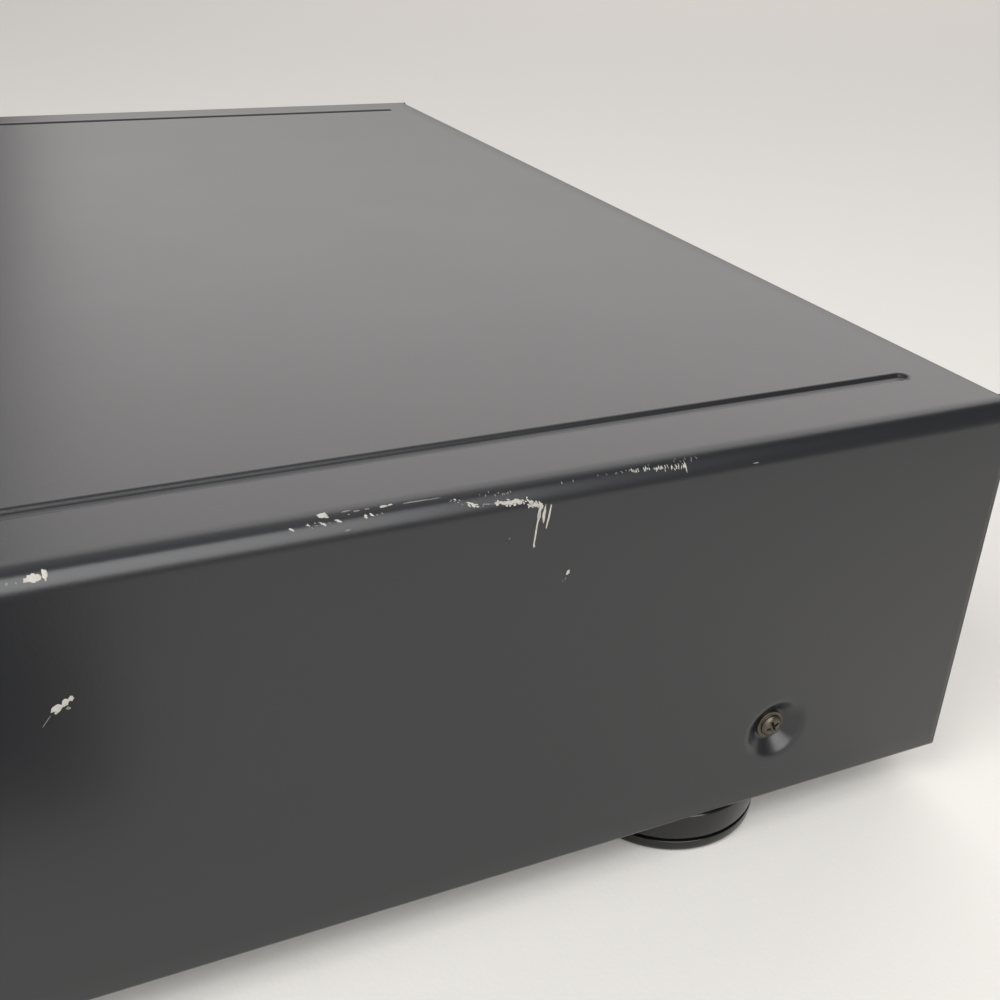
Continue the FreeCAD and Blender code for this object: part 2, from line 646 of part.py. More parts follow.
def rack(name, line, back, start, length, low, high):
    """A rack along Y whose teeth point to -X; a gap is centred on start."""
    module = number("gear_module")
    pitch = math.pi * module
    half = tooth_width(module) / 2
    spare = number("rack_spare")
    root_x = number(line) + DEDENDUM * module
    tip_x = number(line) - ADDENDUM * module
    first_y = number(start) - spare
    last_y = number(start) + number(length) + spare
    slope = math.tan(PRESSURE)
    corners = [Vector(number(back), first_y), Vector(root_x, first_y)]
    count = int((number(length) + spare) / pitch)
    for tooth in range(-1, count):
        middle = number(start) + (tooth + 0.5) * pitch
        wide = half + DEDENDUM * module * slope
        narrow = half - ADDENDUM * module * slope
        corners += [
            Vector(root_x, middle - wide),
            Vector(tip_x, middle - narrow),
            Vector(tip_x, middle + narrow),
            Vector(root_x, middle + wide),
        ]
    corners += [Vector(root_x, last_y), Vector(number(back), last_y)]
    face = Part.Face(Part.makePolygon(corners + corners[:1]))
    return move(made(name, face.extrude(Vector(0, 0, number(high) - number(low)))), z=low)


def belt(name, large, small, level):
    """A square belt round two pulleys, each given by formulas for x, y and groove radius."""
    width = number("belt_width")
    one, two = (Vector(number(p[0]), number(p[1])) for p in (large, small))
    radius_one, radius_two = (number(p[2]) + number("belt_play") for p in (large, small))
    run = two - one
    heading = math.atan2(run.y, run.x)
    spread = math.acos((radius_one - radius_two) / run.Length)

    def loop(extra):
        def at(centre, radius, angle):
            reach = radius + extra
            return centre + Vector(reach * math.cos(angle), reach * math.sin(angle))

        left, right = heading + spread, heading - spread
        around_one = [at(one, radius_one, a) for a in (left, heading + math.pi, right)]
        around_two = [at(two, radius_two, a) for a in (right, heading, left)]
        return Part.Wire([
            Part.Arc(*around_one).toShape(),
            Part.makeLine(around_one[2], around_two[0]),
            Part.Arc(*around_two).toShape(),
            Part.makeLine(around_two[2], around_one[0]),
        ])

    face = Part.Face(loop(width)).cut(Part.Face(loop(0)))
    solid = face.extrude(Vector(0, 0, width)).Solids[0]
    return move(made(name, solid), z=f"{level} + pulley_lip + play")


def pulley_profile(groove, shaft, reach):
    """A grooved pulley standing on its own zero level, with a shaft that reaches below it."""
    rim = f"{groove} + pulley_rim"
    lip = f"{PULLEY_HEIGHT} - pulley_lip"
    return [
        ("0", f"-({reach})"),
        (shaft, f"-({reach})"),
        (shaft, "0"),
        (rim, "0"),
        (rim, "pulley_lip"),
        (groove, "pulley_lip"),
        (groove, lip),
        (rim, lip),
        (rim, PULLEY_HEIGHT),
        ("0", PULLEY_HEIGHT),
    ]


def motor(name, radius, length, boss, x, y, z, axis):
    """A round motor below its mounting face, with a bored boss on that face."""
    body = union(
        f"{name}_case",
        rod(f"{name}_can", radius, ("0", "0"), (f"-({length})", "0")),
        rod(f"{name}_boss", "motor_boss", ("0", "0"), ("0", boss)),
    )
    bore = rod(f"{name}_bore", "motor_shaft + bore_play", ("0", "0"), ("-shaft_depth", f"{boss} + 1"))
    return move(without(name, body, bore), x, y, z, TURN[axis])


def screw(name, x, y, z, axis, length="screw_length"):
    """A pan-head screw with a cross recess; its head points along the axis."""
    body = turned(f"{name}_turned", [
        ("0", f"-({length})"),
        ("screw_radius", f"-({length})"),
        ("screw_radius", "0"),
        ("screw_head", "0"),
        ("screw_head", "screw_head_height / 2"),
        ("screw_head - 1", "screw_head_height"),
        ("0", "screw_head_height"),
    ])
    half_long, half_wide = "recess_length / 2", "recess_width / 2"
    depth = ("screw_head_height - recess_depth", "screw_head_height + 1")
    along_x = block(f"{name}_slot", (f"-{half_long}", half_long), (f"-{half_wide}", half_wide), depth)
    along_y = block(f"{name}_cross", (f"-{half_wide}", half_wide), (f"-{half_long}", half_long), depth)
    return move(without(name, body, along_x, along_y), x, y, z, TURN[axis])


# --------------------------------------------------------------------------
# Casing
# --------------------------------------------------------------------------
def stadium(name, x, half, y, z):
    """A slot along Y with round ends: x is its middle, half its half width."""
    return union(
        name,
        block(f"{name}_run", (f"{x} - ({half})", f"{x} + ({half})"),
              (f"{y[0]} + {half}", f"{y[1]} - {half}"), z),
        rod(f"{name}_start", half, (x, f"{y[0]} + {half}"), z),
        rod(f"{name}_end", half, (x, f"{y[1]} - {half}"), z),
    )


SIDE_SCREWS = (f"{COVER_REAR} - side_screw_back", f"{COVER_FRONT} + side_screw_front")
SIDE_SCREW_Z = f"{BASE} + side_screw_up"
LIP_SCREW_Z = f"{TOP} - cover_lip / 2"
REAR_SCREWS = ("-rear_screw_pitch", "0", "rear_screw_pitch")
HOLE = "screw_radius + screw_play"


def make_top_cover():
    """The folded steel cover: top, two sides, returns under the sides and a lip at the rear."""
    inner = f"{SIDE} - sheet"
    back = f"{FLANGE} + seam"
    under = f"{TOP} - sheet"
    points = [
        (f"-{SIDE}", BASE), (f"-{SIDE}", TOP), (SIDE, TOP), (SIDE, BASE),
        (back, BASE), (back, FLOOR), (inner, FLOOR), (inner, under),
        (f"-({inner})", under), (f"-({inner})", FLOOR), (f"-({back})", FLOOR), (f"-({back})", BASE),
    ]
    shell = plate("cover_shell", "XZ_Plane", points, COVER_FRONT, COVER_REAR)
    run = along(Vector(0, 1, 0))

    def at_level(level):
        return lambda e: run(e) and abs(e.Vertexes[0].Point.z - level) < 1e-6

    rounded(shell, "cover_bend", at_level(number(TOP)))
    rounded(shell, "cover_bend - sheet", at_level(number(under)))
    lip_x = (f"-{SIDE} + lip_inset", f"{SIDE} - lip_inset")
    added = [shell, block("cover_lip_sheet", lip_x, (REAR, COVER_REAR), (f"{TOP} - cover_lip", under))]
    cut = []
    span = (f"{COVER_FRONT} + groove_end", f"{COVER_REAR} - groove_end")
    for sign in ("-1", "1"):
        x = f"{sign} * ({SIDE} - groove_inset - groove_width / 2)"
        rib_span = (f"{span[0]} - sheet", f"{span[1]} + sheet")
        rib_z = (f"{under} - groove_depth", f"{under} + sheet / 2")
        added.append(stadium("groove_rib", x, "(groove_width / 2 + sheet)", rib_span, rib_z))
        cut.append(stadium("groove", x, "(groove_width / 2)", span,
                           (f"{TOP} - groove_depth", f"{TOP} + 1")))
        turn = TURN["-x"] if sign == "1" else TURN["+x"]
        for y in SIDE_SCREWS:
            bulge = cone("dimple_back", "dimple_radius", "dimple_floor + sheet", "dimple_depth")
            added.append(move(bulge, f"{sign} * ({inner})", y, SIDE_SCREW_Z, turn))
            mouth = cone("dimple", "dimple_radius", "dimple_floor", "dimple_depth")
            cut.append(move(mouth, f"{sign} * {SIDE}", y, SIDE_SCREW_Z, turn))
            through = (f"{sign} * {SIDE} - dimple_depth - 3", f"{sign} * {SIDE} + dimple_depth + 3")
            cut.append(rod("side_hole", HOLE, (y, SIDE_SCREW_Z), through, "x"))
    for x in REAR_SCREWS:
        cut.append(rod("lip_hole", HOLE, (x, LIP_SCREW_Z), (f"{REAR} - 1", f"{COVER_REAR} + 1"), "y"))
    piece("top_cover", without("cover", union("cover_folded", *added), *cut))


FEET = {
    "foot_rear_right": (f"{SIDE} - foot_inset", f"{COVER_REAR} - rear_foot_back"),
    "foot_rear_left": (f"foot_inset - {SIDE}", f"{COVER_REAR} - rear_foot_back"),
    "foot_front_right": (f"{SIDE} - foot_inset", f"{FRONT} + front_foot_back"),
    "foot_front_left": (f"foot_inset - {SIDE}", f"{FRONT} + front_foot_back"),
}
STANDOFFS = [
    (x, y)
    for x in ("main_board_left + standoff_inset", "main_board_right - standoff_inset")
    for y in (
        f"{FRONT} + main_board_front + standoff_inset",
        f"{FRONT} + main_board_front + main_board_length - standoff_inset",
    )
]


def make_base():
    """The steel base: its floor, flanges, beads, vents and the standoffs of the main board."""
    inner = f"{FLANGE} - sheet"
    rear = f"{REAR} - sheet"
    floor_top = FLOOR
    side_top = f"{FLOOR} + flange_height"
    added = [
        block("base_floor", (f"-{FLANGE}", FLANGE), (PANEL_BACK, rear), (BASE, FLOOR)),
        block("base_left", (f"-{FLANGE}", f"-({inner})"), (PANEL_BACK, rear), (floor_top, side_top)),
        block("base_right", (inner, FLANGE), (PANEL_BACK, rear), (floor_top, side_top)),
        block("base_front", (f"-{FLANGE}", FLANGE), (PANEL_BACK, f"{PANEL_BACK} + sheet"),
              (floor_top, f"{FLOOR} + front_flange_height")),
        block("base_rear", (f"-{FLANGE}", FLANGE), (f"{rear} - sheet", rear),
              (floor_top, f"{FLOOR} + rear_flange_height")),
    ]
    bead_x = (f"-{SIDE} + 45", f"{SIDE} - 45")
    for y in (f"{FRONT} + 30", f"{FRONT} + main_board_front + main_board_length + 11"):
        added.append(block("bead", bead_x, (y, f"{y} + bead_width"),
                           (floor_top, f"{FLOOR} + bead_height")))
    for x, y in STANDOFFS:
        added.append(rod("standoff_post", "standoff_radius", (x, y), (floor_top, f"{FLOOR} + standoff")))
    cut = []
    rows = (f"{FRONT} + main_board_front + 20", f"{REAR} - base_vent_length - 10")
    for y in rows:
        for step in range(-5, 6):
            middle = f"{step} * base_vent_pitch"
            x = (f"{middle} - base_vent_width / 2", f"{middle} + base_vent_width / 2")
            cut.append(block("base_vent", x, (y, f"{y} + base_vent_length"),
                             (f"{BASE} - 1", f"{FLOOR} + 1")))
    for x, y in FEET.values():
        cut.append(rod("foot_hole", HOLE, (x, y), (f"{BASE} - 1", f"{FLOOR} + 1")))
    for y in SIDE_SCREWS:
        cut.append(rod("flange_holes", HOLE, (y, SIDE_SCREW_Z), (f"-{SIDE}", SIDE), "x"))
    for x in REAR_SCREWS:
        hole = (f"{rear} - 2", f"{rear} + 1")
        cut.append(rod("rear_flange_hole", HOLE, (x, f"{BASE} + rear_screw_up"), hole, "y"))
    piece("chassis_base", without("base", union("base_folded", *added), *cut))


JACKS = [f"jack_x + {step} * jack_pitch" for step in range(3)]
JACK_LEVEL = f"({BASE} + jack_level)"
INLET_LEVEL = f"({BASE} + inlet_level)"


def make_rear_panel():
    """The rear panel, with its vents and the openings for the sockets and the mains inlet."""
    half = f"({SIDE} - sheet - seam)"
    low_half = f"({FLANGE} + seam / 2)"
    high = f"{TOP} - sheet - seam"
    step = f"{FLOOR} + seam"
    points = [
        (f"-{low_half}", BASE), (f"-{low_half}", step), (f"-{half}", step), (f"-{half}", high),
        (half, high), (half, step), (low_half, step), (low_half, BASE),
    ]
    panel = plate("rear_sheet", "XZ_Plane", points, f"{REAR} - sheet", REAR)
    run = along(Vector(0, 1, 0))
    rounded(panel, "cover_bend - sheet",
            lambda e: run(e) and abs(e.Vertexes[0].Point.z - number(high)) < 1e-6)
    through = (f"{REAR} - 3", f"{REAR} + 3")
    low = f"{BASE} + rear_vent_low"
    cut = []
    for step in range(12):
        x = f"jack_x - 40 - {step} * rear_vent_pitch"
        width = (f"{x} - rear_vent_width", x)
        cut.append(block("rear_vent", width, through, (low, f"{low} + rear_vent_height")))
    for x in REAR_SCREWS:
        cut.append(rod("upper_hole", HOLE, (x, LIP_SCREW_Z), through, "y"))
        cut.append(rod("lower_hole", HOLE, (x, f"{BASE} + rear_screw_up"), through, "y"))
    half_high = "(jack_block_height / 2 - 2)"
    for x in JACKS:
        cut.append(block("jack_opening", spread(x, "jack_block_half - 2"), through,
                         (f"{JACK_LEVEL} - {half_high}", f"{JACK_LEVEL} + {half_high}")))
    cut.append(block("inlet_opening", ("inlet_x - inlet_body_width / 2", "inlet_x + inlet_body_width / 2"),
                     through,
                     (f"{INLET_LEVEL} - inlet_body_height / 2", f"{INLET_LEVEL} + inlet_body_height / 2")))
    piece("rear_panel", without("rear", panel, *cut))


def make_foot(node, x, y):
    """A round foot: bevelled, grooved near the floor, with a screw well underneath."""
    ring_top = "foot_ring_level + foot_ring_width"
    body = turned(f"{node}_turned", [
        (HOLE, "foot_height - foot_web"),
        ("foot_well", "foot_height - foot_web"),
        ("foot_well", "0"),
        ("foot_radius - foot_edge", "0"),
        ("foot_radius", "foot_edge"),
        ("foot_radius", "foot_ring_level"),
        ("foot_radius - foot_ring_depth", "foot_ring_level"),
        ("foot_radius - foot_ring_depth", ring_top),
        ("foot_radius", ring_top),
        ("foot_radius", "foot_height - foot_edge / 2"),
        ("foot_radius - foot_edge / 2", "foot_height"),
        (HOLE, "foot_height"),
    ], x, y)
    piece(node, body)


def make_screws():
    """Every screw of the casing: through the dimples, the rear lip, the rear panel and the feet."""
    screws = []
    for sign, axis in (("-1", "-x"), ("1", "+x")):
        for y in SIDE_SCREWS:
            screws.append(screw("side_screw", f"{sign} * ({SIDE} - dimple_depth)", y, SIDE_SCREW_Z, axis))
    for x in REAR_SCREWS:
        screws.append(screw("lip_screw", x, COVER_REAR, LIP_SCREW_Z, "+y"))
        screws.append(screw("panel_screw", x, REAR, f"{BASE} + rear_screw_up", "+y"))
    for x, y in FEET.values():
        screws.append(screw("foot_screw", x, y, "foot_height - foot_web", "-z", "foot_web + sheet"))
    piece("casing_screws", group("screws", *screws))


# --------------------------------------------------------------------------
# Rear sockets
# --------------------------------------------------------------------------
def make_jacks():
    """Three phono sockets: moulded blocks, shells and coloured rings."""
    face = f"({REAR} + jack_block_front)"
    tip = f"({REAR} + jack_proud)"
    half_high = "(jack_block_height / 2)"
    inset = "(jack_block_half - 2 - seam)"
    inset_high = f"({half_high} - 2 - seam)"
    core = "(jack_radius - jack_wall)"
    blocks, shells, rings = [], [], []
    for x in JACKS:
        spot = (x, JACK_LEVEL)
        solid = union(
            "jack_solid",
            block("jack_flange", spread(x, "jack_block_half"), (REAR, face),
                  spread(JACK_LEVEL, half_high)),
            block("jack_body", spread(x, inset), (f"{REAR} - jack_block_depth", REAR),
                  spread(JACK_LEVEL, inset_high)),
            rod("jack_core", f"{core} - 0.1", spot, (REAR, f"{tip} - 1"), "y"),
        )
        hole = rod("jack_pin_hole", "jack_bore", spot, (f"{tip} - 1 - jack_bore_depth", tip), "y")
        blocks.append(without("jack_block", solid, hole))
        tube = rod("jack_tube", "jack_radius", spot, (face, tip), "y")
        tube_bore = rod("jack_tube_bore", core, spot, (REAR, f"{tip} + 1"), "y")
        shells.append(without("jack_shell", tube, tube_bore))
        disc = rod("jack_disc", "jack_ring", spot, (face, f"{face} + jack_ring_height"), "y")
        disc_hole = rod("jack_disc_hole", "jack_radius + 0.05", spot, (REAR, tip), "y")
        rings.append(without("jack_ring_piece", disc, disc_hole))
    piece("jack_housing", group("jack_block_set", *blocks))
    piece("jack_shells", group("jack_shell_set", *shells))
    piece("jack_rings", group("jack_ring_set", *rings))


def make_inlet():
    """The two-pin mains inlet: a flanged body with a socket that is round at both ends."""
    flange = block("inlet_plate", ("inlet_x - inlet_width / 2", "inlet_x + inlet_width / 2"),
                   (REAR, f"{REAR} + inlet_flange"),
                   (f"{INLET_LEVEL} - inlet_height / 2", f"{INLET_LEVEL} + inlet_height / 2"))
    half_wide = "(inlet_body_width / 2 - seam)"
    half_high = "(inlet_body_height / 2 - seam)"
    body = block("inlet_case", (f"inlet_x - {half_wide}", f"inlet_x + {half_wide}"),
                 (f"{REAR} - inlet_depth", REAR),
                 (f"{INLET_LEVEL} - {half_high}", f"{INLET_LEVEL} + {half_high}"))
    face = f"({REAR} + inlet_flange)"
    bottom = f"({face} - inlet_socket_depth)"
    span = (bottom, f"{face} + 1")
    radius = "inlet_socket_height / 2"
    reach = f"(inlet_socket_width / 2 - {radius})"
    cut = [block("inlet_run", (f"inlet_x - {reach}", f"inlet_x + {reach}"), span,
                 (f"{INLET_LEVEL} - {radius}", f"{INLET_LEVEL} + {radius}"))]
    pins = []
    for sign in ("-", "+"):
        cut.append(rod("inlet_end", radius, (f"inlet_x {sign} {reach}", INLET_LEVEL), span, "y"))
        x = f"inlet_x {sign} inlet_pin_pitch / 2"
        pins.append(rod("inlet_pin", "inlet_pin_radius", (x, INLET_LEVEL),
                        (bottom, f"{bottom} + inlet_pin_length"), "y"))
    moulding = without("inlet_moulding", union("inlet_solid", flange, body), *cut)
    piece("ac_inlet", group("inlet_set", moulding, *pins))


# --------------------------------------------------------------------------
# Front panel, its board, buttons and controls
# --------------------------------------------------------------------------
def make_keys():
    """Where each button sits: node, middle across, middle upwards, width and height."""
    keys = {}
    for number_on_key in range(1, 6):
        x = f"window_x + {number_on_key - 3} * disc_key_pitch"
        keys[f"disc{number_on_key}_button"] = (x, f"{BASE} + disc_key_level", "disc_key_width",
                                               "disc_key_height")
    rows = [("previous", "next", "repeat"), ("play", "pause", "stop"),
            ("program", "disc_skip", "open_close")]
    for row, names in enumerate(rows):
        for column, name in enumerate(names):
            x = f"key_x + {column} * key_pitch_x"
            z = f"{BASE} + key_level + {row} * key_pitch_z"
            keys[f"{name}_button"] = (x, z, "key_width", "key_height")
    keys["power_button"] = ("power_x", f"{BASE} + power_level", "power_width", "power_height")
    return keys


KEYS = make_keys()
WINDOW_Z = f"({BASE} + window_level)"
PHONES_Z = f"({BASE} + phones_level)"
KNOB_Z = f"({BASE} + knob_level)"
BOARD_BOSSES = [
    ("key_x - 33.5", f"{WINDOW_Z} + 10"),
    ("window_x - window_width / 2 - 13", f"{WINDOW_Z} + 10"),
    (f"{SIDE} - 7", f"{WINDOW_Z} - 16"),
    ("power_x - power_width / 2 - 7", f"{BASE} + power_level"),
]


def spread(middle, half):
    return (f"{middle} - ({half})", f"{middle} + ({half})")


def make_front_panel():
    """The moulded front panel: hollow behind, with openings for drawer, display and controls."""
    side = f"({SIDE} + panel_overhang)"
    low = f"({BASE} - panel_drop)"
    high = f"({TOP} + panel_rise)"
    outer = key_block("panel_block", (f"-{side}", side), (FRONT, PANEL_BACK), (low, high), "panel_corner",
                      "panel_edge")
    hollow = block("panel_hollow", (f"panel_rim - {side}", f"{side} - panel_rim"),
                   (PANEL_INSIDE, f"{PANEL_BACK} + 1"), (f"{low} + panel_rim", f"{high} - panel_rim"))
    through = (f"{FRONT} - 1", f"{PANEL_INSIDE} + 1")
    front_low = f"{TRAY_LOW} - tray_front_drop"
    gap = "tray_front_gap"
    half = f"tray_front_width / 2 + {gap}"
    cut = [
        block("drawer_opening", (f"-({half})", half), through,
              (f"{front_low} - {gap}", f"{front_low} + tray_front_height + {gap}")),
        block("window_pocket", spread("window_x", "window_width / 2 + window_play"),
              (f"{FRONT} - 1", f"{FRONT} + window_thickness + 0.3"),
              spread(WINDOW_Z, "window_height / 2 + window_play")),
        block("window_opening", spread("window_x", "window_width / 2 - window_seat"), through,
              spread(WINDOW_Z, "window_height / 2 - window_seat")),
        block("styling_line", (f"-{side} - 1", f"{side} + 1"), (f"{FRONT} - 1", f"{FRONT} + line_depth"),
              (f"{BASE} + line_level", f"{BASE} + line_level + line_width")),
        rod("phones_hole", "phones_nose + 0.1", ("phones_x", PHONES_Z), through, "y"),
        rod("knob_hole", "shaft_radius + play", ("knob_x", KNOB_Z), through, "y"),
    ]
    for x, z, width, height in KEYS.values():
        cut.append(block("key_opening", spread(x, f"{width} / 2 + button_gap"), through,
                         spread(z, f"{height} / 2 + button_gap")))
    shell = without("panel_shell", outer, hollow, *cut)
    bosses = [rod("board_boss", "boss_radius", place, (PANEL_INSIDE, BOARD_FACE),
                  "y") for place in BOARD_BOSSES]
    piece("front_panel", union("panel", shell, *bosses))


def make_display():
    """The display window let into the panel, and the display tube on the board behind it."""
    depth = (f"{FRONT} + 0.3", f"{FRONT} + 0.3 + window_thickness")
    window = key_block("window_pane", spread("window_x", "window_width / 2"), depth,
                       spread(WINDOW_Z, "window_height / 2"), "window_corner", "0.4")
    piece("display_window", window)
    tube = block("tube", spread("window_x", "tube_width / 2"), (f"{BOARD_FACE} - 8", BOARD_FACE),
                 spread(WINDOW_Z, "tube_height / 2"))
    piece("display_tube", tube)


def make_front_board():
    """The board behind the panel with one switch per button; the level control stands beside it."""
    half = f"{SIDE} - board_margin"
    board = block("front_circuit", (f"-({half})", half), (BOARD_FACE, f"{BOARD_FACE} + board_thickness"),
                  (f"{BASE} + front_board_low", f"{BASE} + front_board_high"))
    corner = block("socket_corner", (f"-{SIDE}", "knob_x + control_side / 2 + 3"),
                   (f"{BOARD_FACE} - 1", f"{BOARD_FACE} + board_thickness + 1"),
                   (BASE, f"{PHONES_Z} + phones_side / 2 + 6"))
    parts = [without("front_circuit_cut", board, corner)]
    for x, z, _, _ in KEYS.values():
        parts.append(block("switch", spread(x, "switch_side / 2"),
                           (f"{BOARD_FACE} - switch_height", BOARD_FACE),
                           spread(z, "switch_side / 2")))
    control = block("control_case", spread("knob_x", "control_side / 2"),
                    (PANEL_INSIDE, f"{FRONT} + panel_wall + control_front + 4"),
                    spread(KNOB_Z, "control_side / 2"))
    bore = rod("control_bore", "shaft_radius + bore_play", ("knob_x", KNOB_Z),
               (f"{FRONT}", f"{PANEL_INSIDE} + control_front"), "y")
    piece("front_board",
          group("front_board_set", union("front_board_solid", *parts), without("control", control, bore)))


def make_phones():
    """The headphone socket: a body behind the panel, a nose through it and a ring on its face."""
    nose_front = f"({FRONT} - 0.5)"
    body = block("phones_case", spread("phones_x", "phones_side / 2"),
                 (PANEL_INSIDE, f"{nose_front} + phones_depth + 1.5"), spread(PHONES_Z, "phones_side / 2"))
    nose = rod("phones_nose_tube", "phones_nose", ("phones_x", PHONES_Z),
               (nose_front, f"{PANEL_INSIDE} + 1"), "y")
    ring = rod("phones_face_ring", "phones_ring", ("phones_x", PHONES_Z), (nose_front, FRONT), "y")
    bore = rod("phones_hole_bore", "phones_bore", ("phones_x", PHONES_Z),
               (nose_front, f"{nose_front} + phones_depth"), "y")
    piece("headphone_jack", without("phones", union("phones_solid", body, nose, ring), bore))


def make_knob():
    """The level knob: a bevelled disc on its shaft, with a pointer line cut across its face."""
    reach = "(knob_proud - knob_gap)"
    body = turned("knob_turned", [
        ("0", f"-{reach} - panel_wall - control_front + 0.3 - knob_gap"),
        ("shaft_radius", f"-{reach} - panel_wall - control_front + 0.3 - knob_gap"),
        ("shaft_radius", f"-{reach}"),
        ("knob_radius", f"-{reach}"),
        ("knob_radius", "-knob_edge"),
        ("knob_radius - knob_edge", "0"),
        ("0", "0"),
    ], "knob_x", f"{FRONT} - knob_proud", KNOB_Z, "-y")
    line = block("knob_pointer", spread("knob_x", "0.6"),
                 (f"{FRONT} - knob_proud - 1", f"{FRONT} - knob_proud + 0.6"),
                 (f"{KNOB_Z} + knob_radius / 3", f"{KNOB_Z} + knob_radius + 1"))
    piece("level_knob", without("knob", body, line))


def make_button(node, x, z, width, height):
    """A button cap, the flange that keeps it behind the panel and the stem that presses its switch."""
    cap = key_block(f"{node}_cap", spread(x, f"{width} / 2"),
                    (f"{FRONT} - button_proud", f"{PANEL_INSIDE} + play"),
                    spread(z, f"{height} / 2"), "button_corner", "0.5")
    back = f"({PANEL_INSIDE} + play + button_flange)"
    flange = block(f"{node}_flange", spread(x, f"{width} / 2 + button_flange"),
                   (f"{PANEL_INSIDE} + play", back),
                   spread(z, f"{height} / 2 + button_flange"))
    stem_end = f"{BOARD_FACE} - switch_height - button_travel - play"
    stem = rod(f"{node}_stem", "stem_radius", (x, z), (back, stem_end), "y")
    piece(node, union(f"{node}_solid", cap, flange, stem))


# --------------------------------------------------------------------------
# Drawer and its gear
# --------------------------------------------------------------------------
def make_tray():
    """The drawer: a deck round a deep well, an opening for the lift, rails, a rack and two pins."""
    inside = f"{TRAY_SIDE} - tray_wall"
    well = "(carousel_radius + well_gap)"
    body = block("tray_block", (f"-{TRAY_SIDE}", TRAY_SIDE), (TRAY_FRONT, TRAY_REAR),
                 (TRAY_LOW, TRAY_HIGH))
    under = block("tray_under", (f"-({inside})", inside),
                  (f"{TRAY_FRONT} + tray_wall", f"{TRAY_REAR} - tray_wall"),
                  (f"{TRAY_LOW} - 1", f"{TRAY_HIGH} - tray_wall"))
    kept = rod("tray_bowl", f"{well} + tray_wall", ("0", CENTRE), (f"{TRAY_LOW} - 2", TRAY_HIGH))
    opening = block("lift_opening", ("-opening_left", "opening_right"),
                    (f"{SPINDLE} - opening_front", f"{TRAY_REAR} + 1"),
                    (f"{TRAY_LOW} - 1", f"{CAROUSEL_LOW} - seam"))
    shell = without(
        "tray_shell", body,
        without("tray_corners", under, kept),
        rod("tray_well", well, ("0", CENTRE), (TRAY_TOP_OF_FLOOR, f"{TRAY_HIGH} + 1")),
        opening,
        rod("motor_boss_hole", "motor_boss + play", ("carousel_motor_x", CAROUSEL_MOTOR_Y),
            (f"{TRAY_LOW} - 1", f"{TRAY_TOP_OF_FLOOR} + 1")),
    )
    rail_z = (RAIL_LOW, f"{RAIL_LOW} + rail_thickness")
    rail_y = (f"{TRAY_FRONT} + rail_start", TRAY_REAR)
    rack_low = f"({TRAY_LOW} + rack_level)"
    added = [
        shell,
        block("rail_left", (f"-{RAIL_SIDE}", f"-{TRAY_SIDE}"), rail_y, rail_z),
        block("rail_right", (TRAY_SIDE, RAIL_SIDE), rail_y, rail_z),
        rack("tray_rack", RACK_LINE, f"-{TRAY_SIDE}", LOADING_Y, "tray_travel", rack_low,
             f"{rack_low} + rack_height"),
        rod("carousel_post", "post_radius", ("0", CENTRE),
            (TRAY_TOP_OF_FLOOR, f"{TRAY_HIGH} + hub_rise + play")),
        rod("carousel_shoulder", "post_shoulder", ("0", CENTRE),
            (TRAY_TOP_OF_FLOOR, f"{CAROUSEL_LOW} - ring_height - 0.8 - play")),
        rod("pinion_pin", "axle_radius", (PINION_X, CENTRE),
            (TRAY_TOP_OF_FLOOR, f"{CAROUSEL_LOW} - play")),
    ]
    piece("tray", union("tray_solid", *added))
    low = f"({TRAY_LOW} - tray_front_drop)"
    front = key_block("tray_front_block", ("-tray_front_width / 2", "tray_front_width / 2"),
                      (f"{FRONT} - tray_proud", TRAY_FRONT), (low, f"{low} + tray_front_height"),
                      "tray_front_corner", "tray_front_edge")
    piece("tray_front", front)


def make_loading_drive():
    """The motor, belt and gear that drive the drawer's rack."""
    gear_body = union(
        "loading_gear_solid",
        turned("loading_pulley_turned",
               pulley_profile("loading_pulley", "axle_radius + 1", "0.01")[3:] + [("0", "0")],
               LOADING_X, LOADING_Y, LOADING_PULLEY),
        rod("loading_sleeve", "6", (LOADING_X, LOADING_Y),
            (f"{LOADING_PULLEY} + {PULLEY_HEIGHT} - 0.2", f"{TRAY_LOW} + rack_level + play")),
        gear("loading_teeth_ring", "loading_teeth", 0, LOADING_X, LOADING_Y,
             f"{TRAY_LOW} + rack_level + play", f"{TRAY_LOW} + rack_level + rack_height - play"),
    )
    bore = rod("loading_bore", "axle_radius + bore_play", (LOADING_X, LOADING_Y),
               (LOADING_PULLEY, f"{TRAY_LOW} + rack_level + rack_height"))
    piece("loading_gear", without("loading_gear_bored", gear_body, bore))
    piece("loading_motor", motor("loading_motor_body", "motor_radius", "motor_length", "motor_boss_height",
                                 "loading_motor_x", LOADING_Y, SHELF_LOW, "+z"))
    reach = "(shaft_depth + shelf_thickness)"
    pulley = turned("loading_motor_pulley_turned", pulley_profile("motor_pulley", "motor_shaft", reach),
                    "loading_motor_x", LOADING_Y, LOADING_PULLEY)
    piece("loading_motor_pulley", pulley)
    piece("loading_belt", belt("loading_belt_loop", (LOADING_X, LOADING_Y, "loading_pulley"),
                               ("loading_motor_x", LOADING_Y, "motor_pulley"), LOADING_PULLEY))


